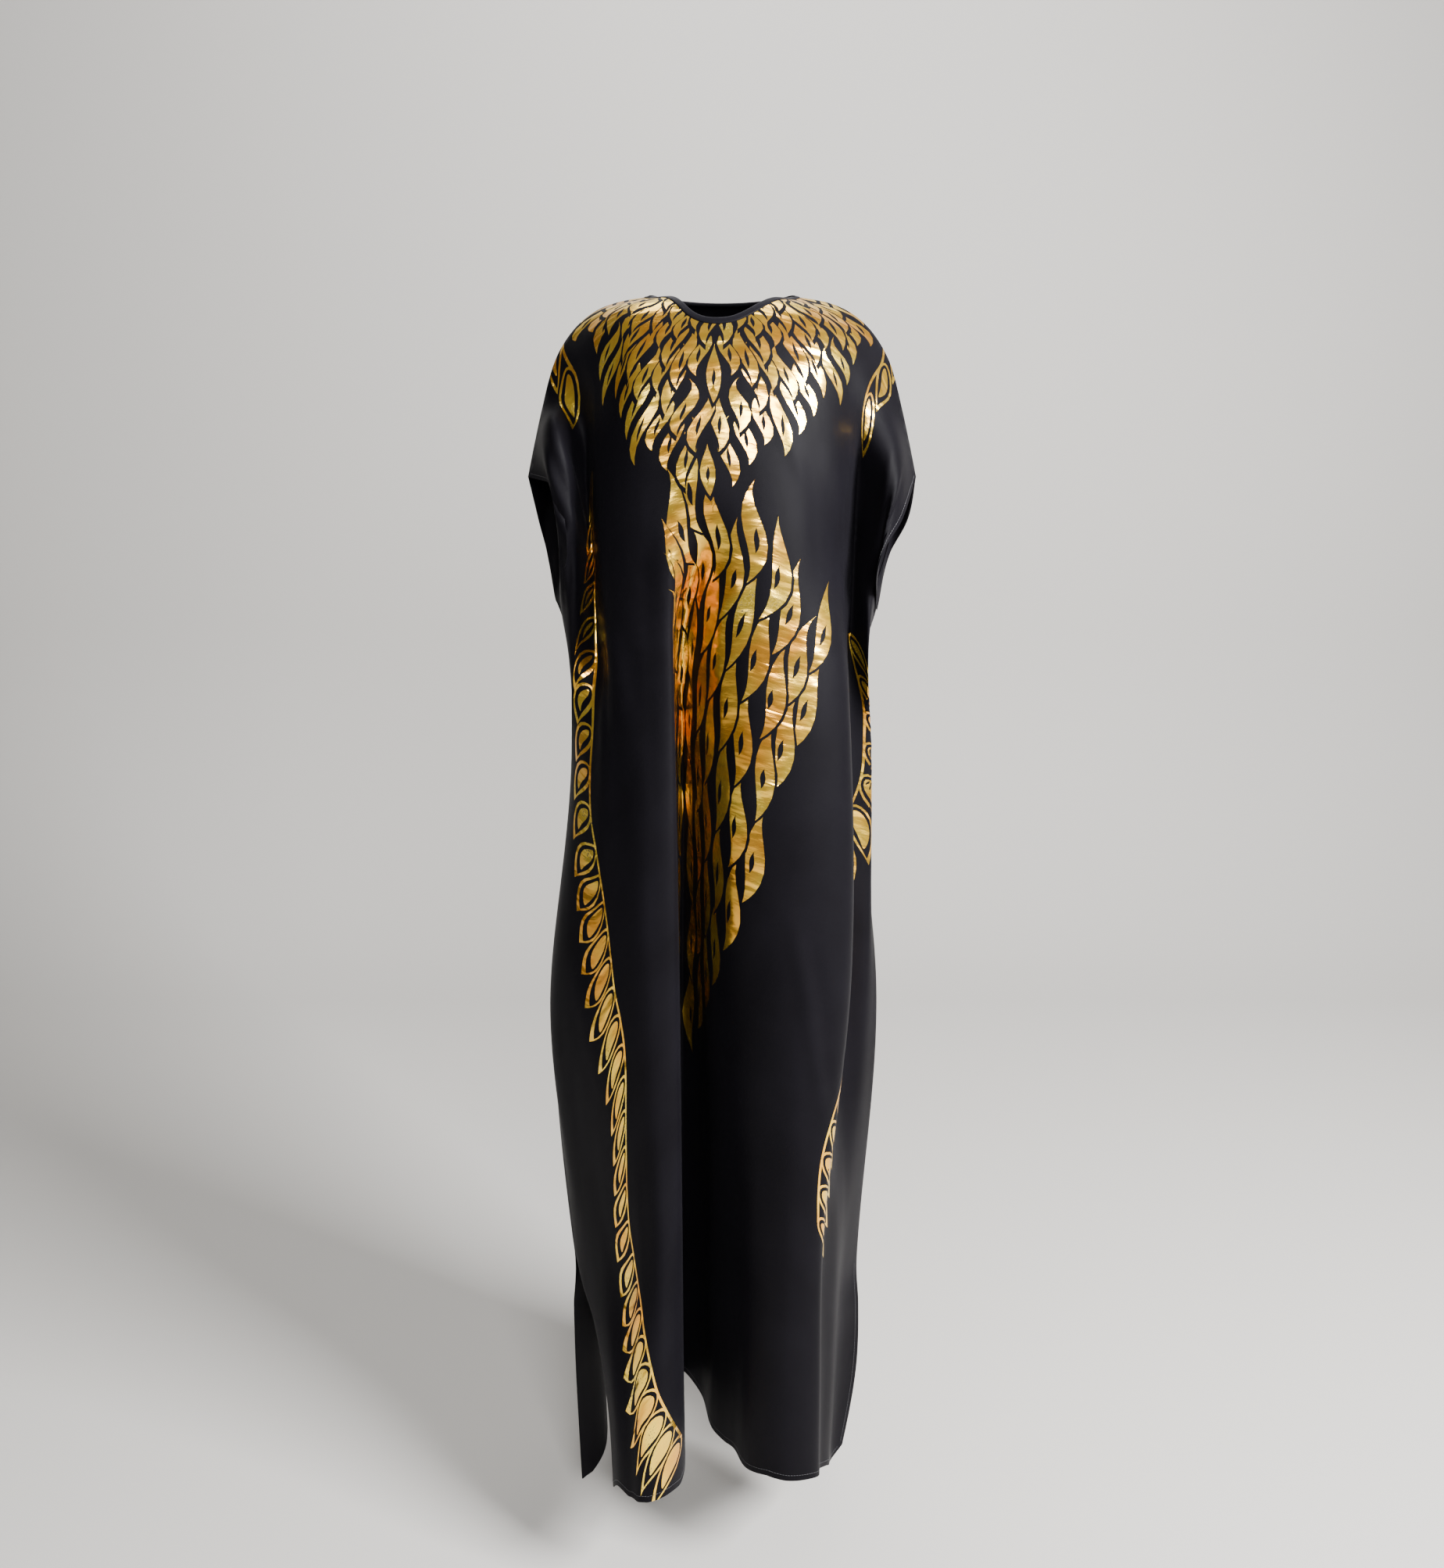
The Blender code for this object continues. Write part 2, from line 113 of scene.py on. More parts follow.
# The fold lines from the wearer's right to the left: where each crosses the shoulder line, then its
# place in plan (x, y) at each level down, in mm. A level is a share of the side edge.
LEVELS = (0.0, 0.05, 0.10, 0.15, 0.20, 0.30, 0.52, 0.76, 0.88, 1.00)
FRONT_FOLDS = (
    # u, collar bone, upper arm, bust, end of the sleeve opening, waist, hip, slit, shin, hem
    (-385, (-185, -52), (-172, -74), (-186, -30), (-178, -2), (-170, 30),
     (-206, 6), (-190, 0), (-136, -86), (-128, -98)),
    (-335, (-196, -58), (-184, -64), (-182, -54), (-176, -40), (-178, -8),
     (-207, -32), (-172, -42), (-137, -122), (-128, -136)),
    (-285, (-184, -62), (-168, -69), (-166, -62), (-164, -50), (-168, -44),
     (-184, -68), (-144, -80), (-126, -148), (-120, -162)),
    (-240, (-162, -28), (-157, -22), (-152, -20), (-150, -20), (-144, -70),
     (-150, -98), (-114, -113), (-108, -164), (-105, -176)),
    (-200, (-144, -52), (-138, -66), (-134, -76), (-128, -86), (-118, -96),
     (-116, -124), (-91, -137), (-91, -174), (-90, -184)),
    (-170, (-126, -60), (-116, -88), (-108, -101), (-92, -110), (-84, -112),
     (-80, -139), (-68, -146), (-68, -168), (-68, -178)),
    (-145, (-108, -64), (-96, -99), (-86, -112), (-58, -120), (-56, -115),
     (-54, -134), (-52, -137), (-51, -146), (-50, -153)),
    (-115, (-92, -66), (-84, -102), (-72, -116), (-46, -122), (-54, -84),
     (-56, -62), (-54, -54), (-52, -56), (-49, -58)),
    (-85, (-70, -68), (-62, -105), (-54, -120), (-26, -126), (-42, -58),
     (-46, 6), (-50, 30), (-52, 36), (-50, 38)),
    (-40, (-36, -70), (-34, -107), (-28, -122), (-4, -129), (-22, -90),
     (-30, -30), (-28, 4), (-28, 8), (-28, 9)),
    (5, (4, -71), (4, -108), (4, -124), (20, -131), (4, -122),
     (-14, -88), (-12, -56), (-12, -50), (-13, -46)),
    (48, (44, -70), (42, -107), (34, -124), (48, -131), (32, -135),
     (10, -128), (12, -102), (13, -98), (14, -94)),
    (90, (84, -67), (80, -102), (68, -119), (78, -124), (70, -137),
     (50, -148), (38, -138), (34, -138), (30, -139)),
    (130, (116, -62), (110, -92), (100, -108), (104, -106), (106, -127),
     (98, -151), (80, -156), (74, -157), (70, -158)),
    (175, (142, -54), (134, -72), (128, -86), (128, -78), (139, -100),
     (144, -126), (114, -144), (114, -142), (115, -138)),
    (212, (154, -50), (146, -50), (141, -54), (140, -50), (142, -64),
     (147, -84), (118, -120), (118, -116), (118, -110)),
    (250, (164, -46), (155, -26), (152, -20), (150, -20), (142, -26),
     (142, -34), (138, -86), (134, -90), (128, -92)),
    (325, (192, -58), (182, -60), (172, -54), (168, -44), (177, -12),
     (174, -26), (152, -40), (144, -54), (132, -66)),
    (385, (204, -46), (174, -72), (176, -30), (164, -2), (166, 30),
     (190, 2), (172, 0), (170, -26), (138, -60)),
)
BACK_FOLDS = (
    (-385, (-220, 46), (-209, 68), (-196, 40), (-178, -2), (-170, 30),
     (-206, 6), (-190, 0), (-186, -18), (-178, -36)),
    (-335, (-208, 50), (-200, 56), (-188, 52), (-178, 42), (-170, 80),
     (-198, 56), (-173, 48), (-160, 26), (-152, 10)),
    (-280, (-192, 54), (-178, 56), (-164, 48), (-161, 46), (-156, 112),
     (-168, 102), (-156, 96), (-156, 86), (-156, 78)),
    (-215, (-164, 48), (-152, 38), (-142, 72), (-136, 106), (-124, 144),
     (-128, 154), (-121, 152), (-126, 150), (-130, 150)),
    (-145, (-128, 58), (-118, 88), (-104, 104), (-94, 114), (-90, 116),
     (-92, 98), (-84, 93), (-84, 94), (-85, 96)),
    (-75, (-70, 64), (-64, 100), (-56, 114), (-50, 124), (-48, 150),
     (-48, 162), (-44, 160), (-44, 161), (-45, 162)),
    (0, (0, 66), (0, 102), (0, 114), (0, 122), (-2, 114),
     (-2, 98), (-3, 96), (-4, 97), (-5, 98)),
    (75, (70, 64), (64, 100), (56, 114), (50, 124), (45, 152),
     (45, 164), (37, 162), (36, 163), (35, 164)),
    (145, (128, 58), (118, 88), (104, 104), (92, 114), (86, 116),
     (89, 98), (77, 96), (76, 97), (75, 98)),
    (215, (164, 48), (152, 38), (142, 72), (134, 106), (122, 146),
     (125, 154), (111, 152), (110, 152), (108, 152)),
    (280, (192, 54), (178, 56), (162, 48), (156, 46), (148, 114),
     (160, 102), (146, 96), (144, 100), (140, 104)),
    (335, (208, 50), (198, 56), (180, 50), (168, 40), (164, 82),
     (184, 52), (166, 48), (158, 54), (150, 60)),
    (385, (222, 44), (198, 66), (184, 40), (164, -2), (166, 30),
     (190, 2), (172, 0), (156, 8), (136, 14)),
)


def smooth_through(knots, values, at):
    """A smooth curve through the values at the knots, read at other places."""
    knots = np.asarray(knots, float)
    values = np.asarray(values, float)
    steps = np.diff(knots)[:, None]
    slopes = np.diff(values, axis=0) / steps
    tangents = np.concatenate([slopes[:1], slopes[1:], slopes[-1:]])
    part_of = steps[1:] / (steps[:-1] + steps[1:])
    tangents[1:-1] = slopes[:-1] * part_of + slopes[1:] * (1 - part_of)
    span = np.clip(np.searchsorted(knots, at, side="right") - 1, 0, len(knots) - 2)
    f = ((np.asarray(at) - knots[span]) / steps[span, 0])[:, None]
    start = values[span] * (2 * f**3 - 3 * f**2 + 1) + values[span + 1] * (3 * f**2 - 2 * f**3)
    bend = tangents[span] * (f**3 - 2 * f**2 + f) + tangents[span + 1] * (f**3 - f**2)
    return start + steps[span] * bend


def unit(vectors):
    return vectors / np.maximum(np.linalg.norm(vectors, axis=-1, keepdims=True), 1e-12)


def lengths_along(points):
    return np.concatenate([[0.0], np.cumsum(np.linalg.norm(np.diff(points, axis=0), axis=1))])


def soft_step(x):
    x = np.clip(x, 0.0, 1.0)
    return x * x * (3 - 2 * x)


def shoulder_cut(u):
    part_of = np.clip((np.abs(u) - NECK_HALF_WIDTH) / (PANEL_WIDTH / 2 - NECK_HALF_WIDTH), 0, 1)
    return SHOULDER_SLOPE * part_of**SHOULDER_CURVE


def drape(folds):
    """The panel's surface, an array (ROWS, COLUMNS, 3). The cloth keeps its length down each fold line."""
    shares = np.linspace(0, 1, ROWS)
    u = np.linspace(-PANEL_WIDTH / 2, PANEL_WIDTH / 2, COLUMNS)
    fold_u = np.array([fold[0] for fold in folds]) / 1000
    table = np.array(SHOULDER_LINE) / 1000
    lines = np.empty((ROWS, len(folds), 3))
    for column, (place, fold) in enumerate(zip(fold_u, folds)):
        x, z = smooth_through(table[:, 0], table[:, 1:], np.array([abs(place)]))[0]
        plan = np.vstack([[[np.copysign(x, place), 0.0]], np.array(fold[1:]) / 1000])
        xy = smooth_through(LEVELS, plan, shares)
        along = (PANEL_LENGTH - shoulder_cut(place)) * np.diff(shares)
        sideways = np.linalg.norm(np.diff(xy, axis=0), axis=1)
        falls = np.sqrt(np.maximum(along**2 - sideways**2, (LEAST_FALL * along) ** 2))
        lines[:, column, :2] = xy
        lines[:, column, 2] = z - np.concatenate([[0.0], np.cumsum(falls)])
    surface = np.empty((ROWS, COLUMNS, 3))
    for row, points in enumerate(lines):
        chords = lengths_along(points)
        along = np.linspace(0, chords[-1], CURVE_POINTS)
        curve = smooth_through(chords, points, along)
        run = lengths_along(curve)
        held = np.interp(u, fold_u, np.interp(chords, along, run))
        even = np.linspace(0, run[-1], COLUMNS)
        places = held + (even - held) * soft_step(shares[row] / EVEN_FROM)
        for axis in range(3):
            surface[row, :, axis] = np.interp(places, run, curve[:, axis])
    return surface


def how_sewn(share):
    """1 where the side seam is sewn, 0 at the sleeve opening and the slit."""
    below_cuff = soft_step((share - CUFF_OPENING) / SEAM_EASE + 1)
    return below_cuff * soft_step((SLIT_FROM - share) / SEAM_EASE + 1)


def draw_together(front, back):
    """Brings the two panels to one line at the shoulders and the side seams."""
    sewn = how_sewn(np.linspace(0, 1, ROWS))
    across = np.linspace(0, PANEL_WIDTH, COLUMNS)
    for edge, reach in ((0, across), (-1, across[::-1])):
        near = 1 - soft_step(reach / SEAM_BLEND)
        middle = (front[:, edge] + back[:, edge]) / 2
        for panel in (front, back):
            pull = (middle - panel[:, edge]) * sewn[:, None]
            panel += pull[:, None, :] * near[None, :, None]
    level = (front[0] + back[0]) / 2
    front[0] = level
    back[0] = level


def on_cloth(field, u, share):
    """A field over the panel, read at places on it."""
    column = np.clip((u / PANEL_WIDTH + 0.5) * (COLUMNS - 1), 0, COLUMNS - 1)
    row = np.clip(share * (ROWS - 1), 0, ROWS - 1)
    c = np.minimum(column.astype(int), COLUMNS - 2)
    r = np.minimum(row.astype(int), ROWS - 2)
    fc = (column - c)[..., None]
    fr = (row - r)[..., None]
    upper = field[r, c] * (1 - fc) + field[r, c + 1] * fc
    lower = field[r + 1, c] * (1 - fc) + field[r + 1, c + 1] * fc
    return upper * (1 - fr) + lower * fr


# Small creases that the folds leave in the cloth: from (u, share) to (u, share), width, height, in mm
FRONT_CREASES = (
    (-330, 0.03, -312, 0.15, 9, 2.6),
    (-292, 0.05, -268, 0.16, 8, 2.0),
    (-350, 0.09, -322, 0.19, 7, 1.6),
    (-255, 0.20, -238, 0.36, 10, 1.8),
    (-205, 0.22, -176, 0.40, 16, 1.4),
    (-300, 0.45, -262, 0.62, 12, 1.4),
    (60, 0.10, 128, 0.19, 13, 1.4),
    (205, 0.16, 228, 0.34, 10, 1.8),
    (158, 0.49, 214, 0.61, 9, 1.9),
    (182, 0.55, 232, 0.66, 8, 1.5),
    (128, 0.60, 160, 0.84, 20, 1.6),
    (308, 0.04, 330, 0.16, 8, 2.2),
    (338, 0.03, 352, 0.12, 7, 2.0),
    (300, 0.30, 332, 0.46, 10, 1.6),
)
BACK_CREASES = (
    (-320, 0.04, -300, 0.17, 9, 2.2),
    (-250, 0.10, -222, 0.24, 12, 1.8),
    (-60, 0.12, -96, 0.25, 13, 1.5),
    (70, 0.11, 104, 0.26, 13, 1.5),
    (236, 0.12, 262, 0.27, 10, 1.8),
    (318, 0.04, 300, 0.16, 9, 2.2),
    (-190, 0.48, -166, 0.70, 14, 1.5),
    (150, 0.40, 182, 0.66, 14, 1.5),
)
TROUGH_DEPTH = 0.6
TROUGH_ASIDE = 1.7


def crease(surface, table):
    """Raises each crease: a ridge with a shallow trough beside it, fading out at both ends."""
    steps = unit(np.cross(np.gradient(surface, axis=0), np.gradient(surface, axis=1)))
    across = np.linspace(-PANEL_WIDTH / 2, PANEL_WIDTH / 2, COLUMNS)
    u, v = np.meshgrid(across, np.linspace(0, PANEL_LENGTH, ROWS))
    for u_from, share_from, u_to, share_to, width, height in table:
        start = np.array([u_from / 1000, share_from * PANEL_LENGTH])
        way = np.array([u_to / 1000, share_to * PANEL_LENGTH]) - start
        along = ((u - start[0]) * way[0] + (v - start[1]) * way[1]) / (way @ way)
        aside = ((u - start[0]) * way[1] - (v - start[1]) * way[0]) / np.linalg.norm(way) * 1000
        ends = np.sin(np.clip(along, 0, 1) * math.pi) ** 1.5
        trough = TROUGH_DEPTH * np.exp(-(((aside - TROUGH_ASIDE * width) / width) ** 2))
        ridge = np.exp(-((aside / width) ** 2)) - trough
        surface += steps * (ends * ridge * height / 1000)[..., None]


front_surface = drape(FRONT_FOLDS)
back_surface = drape(BACK_FOLDS)
draw_together(front_surface, back_surface)
crease(front_surface, FRONT_CREASES)
crease(back_surface, BACK_CREASES)


# The crepe is a light polyester with a fine pebbled weave: near black, matt, with a faint bloom
def set_sockets(node, values):
    for socket, value in values.items():
        node.inputs[socket].default_value = value
    return node


def new_material(name):
    material = bpy.data.materials.new(name)
    material.use_nodes = True
    tree = material.node_tree
    return material, tree.nodes, tree.links, tree.nodes["Principled BSDF"]


def flat_place(nodes):
    place = nodes.new("ShaderNodeUVMap")
    place.uv_map = "flat"
    return place.outputs["UV"]


def noise(nodes, links, place, values):
    texture = set_sockets(nodes.new("ShaderNodeTexNoise"), values)
    links.new(place, texture.inputs["Vector"])
    return texture.outputs["Fac"]


def thread_bands(nodes, links, place, direction, scale, distortion):
    bands = nodes.new("ShaderNodeTexWave")
    bands.wave_type = "BANDS"
    bands.bands_direction = direction
    set_sockets(bands, {"Scale": scale, "Distortion": distortion, "Detail": 1.0})
    links.new(place, bands.inputs["Vector"])
    return bands.outputs["Fac"]


def ranged(nodes, links, value, values):
    spread = set_sockets(nodes.new("ShaderNodeMapRange"), values)
    links.new(value, spread.inputs["Value"])
    return spread.outputs["Result"]


def colour_mix(nodes, links, factor, values):
    mix = nodes.new("ShaderNodeMix")
    mix.data_type = "RGBA"
    set_sockets(mix, values)
    links.new(factor, mix.inputs["Factor"])
    return mix


def product(nodes, links, first, second):
    times = nodes.new("ShaderNodeMath")
    times.operation = "MULTIPLY"
    links.new(first, times.inputs[0])
    links.new(second, times.inputs[1])
    return times.outputs["Value"]


def relief(nodes, links, height, strength, distance):
    bump = set_sockets(nodes.new("ShaderNodeBump"), {"Strength": strength, "Distance": distance})
    links.new(height, bump.inputs["Height"])
    return bump


def soft_waves(nodes, links, place, bump):
    """Shallow waves a hand's breadth apart, long down the cloth, under a finer bump."""
    longer = nodes.new("ShaderNodeMapping")
    set_sockets(longer, {"Scale": (1.0, 0.28, 1.0), "Rotation": (0.0, 0.0, 0.05)})
    links.new(place, longer.inputs["Vector"])
    waves = noise(nodes, links, longer.outputs["Vector"], {"Scale": 11.0, "Detail": 2.0})
    slow = relief(nodes, links, waves, 0.6, 0.007)
    links.new(slow.outputs["Normal"], bump.inputs["Normal"])


def crepe_material(name, dark, pale, roughness, sheen):
    material, nodes, links, shader = new_material(name)
    bloom = {"Sheen Weight": sheen, "Sheen Roughness": 0.45, "Sheen Tint": (0.75, 0.74, 0.85, 1.0)}
    set_sockets(shader, bloom)
    shader.inputs["Specular IOR Level"].default_value = 0.035
    place = flat_place(nodes)
    cloud = noise(nodes, links, place, {"Scale": 9.0, "Detail": 5.0})
    grain = noise(nodes, links, place, {"Scale": 900.0, "Detail": 3.0})
    warp = thread_bands(nodes, links, place, "X", 380.0, 2.5)
    weft = thread_bands(nodes, links, place, "Y", 300.0, 3.0)
    spread = ranged(nodes, links, cloud, {"From Min": 0.3, "From Max": 0.7})
    colour = colour_mix(nodes, links, spread, {"A": dark, "B": pale})
    links.new(colour.outputs["Result"], shader.inputs["Base Color"])
    rough = ranged(nodes, links, grain, {"To Min": roughness - 0.07, "To Max": roughness + 0.07})
    links.new(rough, shader.inputs["Roughness"])
    weave = nodes.new("ShaderNodeMath")
    weave.operation = "MULTIPLY_ADD"
    weave.inputs[1].default_value = 0.6
    links.new(product(nodes, links, warp, weft), weave.inputs[0])
    links.new(grain, weave.inputs[2])
    bump = relief(nodes, links, weave.outputs["Value"], 0.55, 0.00025)
    soft_waves(nodes, links, place, bump)
    links.new(bump.outputs["Normal"], shader.inputs["Normal"])
    return material


# The gold is a foil pressed on the crepe: thin, a little wrinkled crosswise, worn to pin holes in places
def foil_material(name):
    material, nodes, links, shader = new_material(name)
    place = flat_place(nodes)
    stretched = nodes.new("ShaderNodeMapping")
    stretched.inputs["Scale"].default_value = (1.0, 3.2, 1.0)
    links.new(place, stretched.inputs["Vector"])
    crosswise = stretched.outputs["Vector"]
    wrinkle = noise(nodes, links, crosswise, {"Scale": 48.0, "Detail": 2.0, "Roughness": 0.45})
    rumple = noise(nodes, links, crosswise, {"Scale": 10.0, "Detail": 1.5, "Distortion": 0.6})
    worn = noise(nodes, links, place, {"Scale": 420.0, "Detail": 4.0})
    patch = noise(nodes, links, place, {"Scale": 14.0, "Detail": 3.0})
    spread = ranged(nodes, links, patch, {"From Min": 0.36, "From Max": 0.64})
    tones = {"A": (0.87, 0.38, 0.035, 1.0), "B": (1.0, 0.69, 0.075, 1.0)}
    tone = colour_mix(nodes, links, spread, tones)
    both = product(nodes, links, worn, patch)
    holes = ranged(nodes, links, both, {"From Min": 0.36, "From Max": 0.42})
    colour = colour_mix(nodes, links, holes, {"B": (0.05, 0.04, 0.03, 1.0)})
    links.new(tone.outputs["Result"], colour.inputs["A"])
    links.new(colour.outputs["Result"], shader.inputs["Base Color"])
    metal = ranged(nodes, links, holes, {"To Min": 0.93, "To Max": 0.2})
    links.new(metal, shader.inputs["Metallic"])
    rough = ranged(nodes, links, wrinkle, {"To Min": 0.13, "To Max": 0.32})
    links.new(rough, shader.inputs["Roughness"])
    fine = relief(nodes, links, wrinkle, 0.8, 0.0007)
    broad = relief(nodes, links, rumple, 0.8, 0.0070)
    soft_waves(nodes, links, place, broad)
    links.new(broad.outputs["Normal"], fine.inputs["Normal"])
    links.new(fine.outputs["Normal"], shader.inputs["Normal"])
    return material


CREPE_DARK = (0.0023, 0.0020, 0.0028, 1.0)
CREPE_PALE = (0.0037, 0.0033, 0.0046, 1.0)
crepe = crepe_material("black_crepe", CREPE_DARK, CREPE_PALE, 0.46, 0.010)
gold = foil_material("gold_foil")

# The print: leaves in gold foil. Those in a list's later places lie over the earlier ones.
BARE = 0
FOIL = 1


def leaf(root, tip, width, bows, widest, steps, sharp=0.9, blunt=None):
    """A leaf's outline in flat metres, bowed aside near its root and near its tip. blunt rounds its root."""
    length = np.linalg.norm(tip - root)
    along = (tip - root) / length
    aside = np.array([-along[1], along[0]])
    t = (1 - np.cos(np.linspace(0, math.pi, steps))) / 2
    sway = 3 * (1 - t) ** 2 * t * bows[0] + 3 * (1 - t) * t**2 * bows[1]
    if blunt:
        head = np.maximum(1 - ((t - widest) / widest) ** 2, 0) ** blunt
    else:
        head = np.sin(np.clip(t / widest, 0, 1) * math.pi / 2) ** 1.5
    tail = np.cos(np.clip((t - widest) / (1 - widest), 0, 1) * math.pi / 2) ** sharp
    half = width / 2 * np.where(t < widest, head, tail)
    spine = root + np.outer(t * length, along) + np.outer(sway, aside)
    left = spine + np.outer(half, aside)
    right = spine - np.outer(half, aside)
    return np.concatenate([left, right[-2:0:-1]])


def mirrored(motifs):
    return [(outline * np.array([-1.0, 1.0]), colour) for outline, colour in motifs]


# Down each side runs a chain of leaves, each a gold band, a dark gap and a gold leaf inside it. The
# rows hold v, x, the slant from the chain's own way in degrees, length and width.
SLEEVE_BORDER_RIGHT = (
    (0.036, 0.196, 18, 0.074, 0.024),
    (0.074, 0.209, 14, 0.078, 0.025),
    (0.114, 0.223, 12, 0.080, 0.025),
)
BORDER_RIGHT = (
    (0.215, 0.222, 22, 0.062, 0.018),
    (0.260, 0.245, 22, 0.062, 0.018),
    (0.304, 0.262, 22, 0.062, 0.018),
    (0.360, 0.263, 22, 0.064, 0.019),
    (0.410, 0.266, 22, 0.066, 0.020),
    (0.470, 0.286, 22, 0.068, 0.021),
    (0.520, 0.304, 26, 0.070, 0.023),
    (0.570, 0.316, 30, 0.070, 0.025),
    (0.640, 0.314, 44, 0.072, 0.029),
    (0.700, 0.308, 54, 0.074, 0.033),
    (0.760, 0.304, 61, 0.078, 0.036),
    (0.820, 0.300, 61, 0.078, 0.036),
    (0.870, 0.287, 56, 0.074, 0.034),
    (0.930, 0.281, 42, 0.070, 0.028),
    (1.000, 0.289, 30, 0.066, 0.024),
    (1.080, 0.300, 30, 0.066, 0.024),
    (1.150, 0.295, 48, 0.068, 0.029),
    (1.200, 0.289, 66, 0.068, 0.035),
    (1.260, 0.283, 84, 0.072, 0.042),
    (1.300, 0.276, 92, 0.074, 0.043),
    (1.345, 0.257, 96, 0.074, 0.043),
    (1.395, 0.227, 94, 0.072, 0.043),
    (1.445, 0.190, 92, 0.070, 0.041),
)
SLEEVE_BORDER_LEFT = (
    (0.022, 0.196, 18, 0.074, 0.024),
    (0.060, 0.209, 14, 0.078, 0.025),
    (0.100, 0.223, 12, 0.080, 0.025),
    (0.140, 0.232, 12, 0.078, 0.024),
)
HIP_BORDER_LEFT = (
    (0.400, 0.285, 26, 0.072, 0.024),
    (0.480, 0.345, 32, 0.080, 0.030),
    (0.575, 0.382, 44, 0.086, 0.035),
    (0.640, 0.370, 48, 0.082, 0.034),
    (0.700, 0.345, 48, 0.078, 0.032),
    (0.760, 0.344, 46, 0.074, 0.031),
    (0.820, 0.350, 46, 0.072, 0.030),
    (0.870, 0.346, 48, 0.072, 0.031),
    (0.920, 0.332, 52, 0.074, 0.033),
    (0.970, 0.312, 56, 0.076, 0.034),
    (1.020, 0.299, 58, 0.076, 0.035),
    (1.070, 0.295, 56, 0.072, 0.033),
    (1.110, 0.292, 48, 0.060, 0.025),
)
BAND = 0.0030
DARK_GAP = 0.0044
RIM_GAP = 0.012
ROOT_SHARE = 0.40
FARTHEST_STEP = 0.74
LINK_BOWS = (-0.06, -0.30)
LINK_WIDEST = 0.38
LINK_BLUNT = 0.60
LINK_STEPS = 11
INSET_ROOT = 1.1
INSET_TIP = 3.0
PATH_POINTS = 800
EVENED_POINTS = 60


def border(path):
    """The chain of leaves along a path, the later ones under the earlier, and its gold inner line."""
    table = np.array(path)
    fine = np.linspace(table[0, 0], table[-1, 0], PATH_POINTS)
    path = smooth_through(table[:, 0], table[:, 1:], fine)
    run = np.concatenate([[0.0], np.cumsum(np.hypot(np.diff(fine), np.diff(path[:, 0])))])
    chain = np.degrees(np.arctan(np.gradient(path[:, 0], fine)))
    window = np.ones(2 * EVENED_POINTS + 1) / (2 * EVENED_POINTS + 1)
    chain = np.convolve(np.pad(chain, EVENED_POINTS, mode="edge"), window, mode="valid")
    links = []
    rim = []
    place = 0.0
    while place < run[-1]:
        v = np.interp(place, run, fine)
        x, slant, length, width = (np.interp(place, run, path[:, k]) for k in range(4))
        way = math.radians(np.interp(place, run, chain))
        turn = way + math.radians(slant)
        along = np.array([math.sin(turn), math.cos(turn)])
        root = np.array([x, v]) - along * length * ROOT_SHARE
        bows = (LINK_BOWS[0] * width, LINK_BOWS[1] * width)
        link = []
        for inset, sharp, colour in ((0.0, 1.0, FOIL), (BAND, 0.8, BARE), (BAND + DARK_GAP, 0.55, FOIL)):
            start = root + along * inset * INSET_ROOT
            end = root + along * (length - INSET_TIP * inset)
            inner = width - 2 * inset
            shape = leaf(start, end, inner, bows, LINK_WIDEST, LINK_STEPS, sharp, LINK_BLUNT)
            link.append((shape, colour))
        links.append(link)
        inward = np.array([-math.cos(way), math.sin(way)])
        gap = link[1][0]
        rim.append(gap[np.argmax(gap @ inward)] + inward * BAND / 2)
        place += min((width - BAND) / math.sin(math.radians(slant)), FARTHEST_STEP * length)
    motifs = [shape for link in reversed(links) for shape in link]
    rim = np.array(rim)
    down = np.linspace(rim[0, 1], rim[-1, 1], 12 * len(rim))
    line = np.stack([smooth_through(rim[:, 1], rim[:, :1], down)[:, 0], down], axis=1)
    ahead = unit(np.gradient(line, axis=0))
    inward = np.stack([-ahead[:, 1], ahead[:, 0]], axis=1)
    for near, far, colour in ((BAND / 2, RIM_GAP, BARE), (-BAND / 2, BAND / 2, FOIL)):
        motifs.append((np.concatenate([line + inward * near, (line + inward * far)[::-1]]), colour))
    return motifs


# Down the middle hang strands of long bowed petals, drawing together to a point at the knee
PETAL_LEVELS = (0.35, 0.47, 0.64, 0.82, 1.00)
PETAL_STRANDS = (
    # v at the top and at the last tip, then x at each of the levels above; wearer's left first
    (0.385, 0.560, (0.140, 0.148, 0.158, 0.158, 0.158)),
    (0.360, 0.605, (0.114, 0.128, 0.149, 0.149, 0.149)),
    (0.330, 0.740, (0.088, 0.104, 0.138, 0.145, 0.145)),
    (0.310, 0.805, (0.063, 0.080, 0.110, 0.125, 0.125)),
    (0.300, 0.865, (0.040, 0.055, 0.080, 0.103, 0.103)),
    (0.280, 0.910, (0.018, 0.030, 0.048, 0.074, 0.085)),
    (0.260, 0.960, (-0.002, 0.006, 0.016, 0.030, 0.036)),
    (0.250, 1.005, (-0.022, -0.020, -0.014, 0.004, 0.012)),
    (0.270, 0.950, (-0.038, -0.043, -0.043, -0.034, -0.030)),
    (0.310, 0.800, (-0.048, -0.065, -0.071, -0.066, -0.066)),
    (0.350, 0.740, (-0.056, -0.085, -0.097, -0.095, -0.095)),
    (0.420, 0.590, (-0.066, -0.100, -0.120, -0.122, -0.122)),
)
LEFT_STRANDS = 7
PETAL_LENGTH = 0.116
PETAL_WIDTH = 0.0235
PETAL_STEP = 0.096
PETAL_GAP = 0.0078
PETAL_BOWS = (0.020, -0.022)
PETAL_WIDEST = 0.54
PETAL_LEAN = (0.009, 0.005)
PETAL_STEPS = 13
SLIT_WIDTH = 0.0064
SLIT_SPAN = (0.46, 0.70)
SLIT_BOW = 0.003
GAP_BELOW = 0.004
SHORTEST_PETAL = 0.6


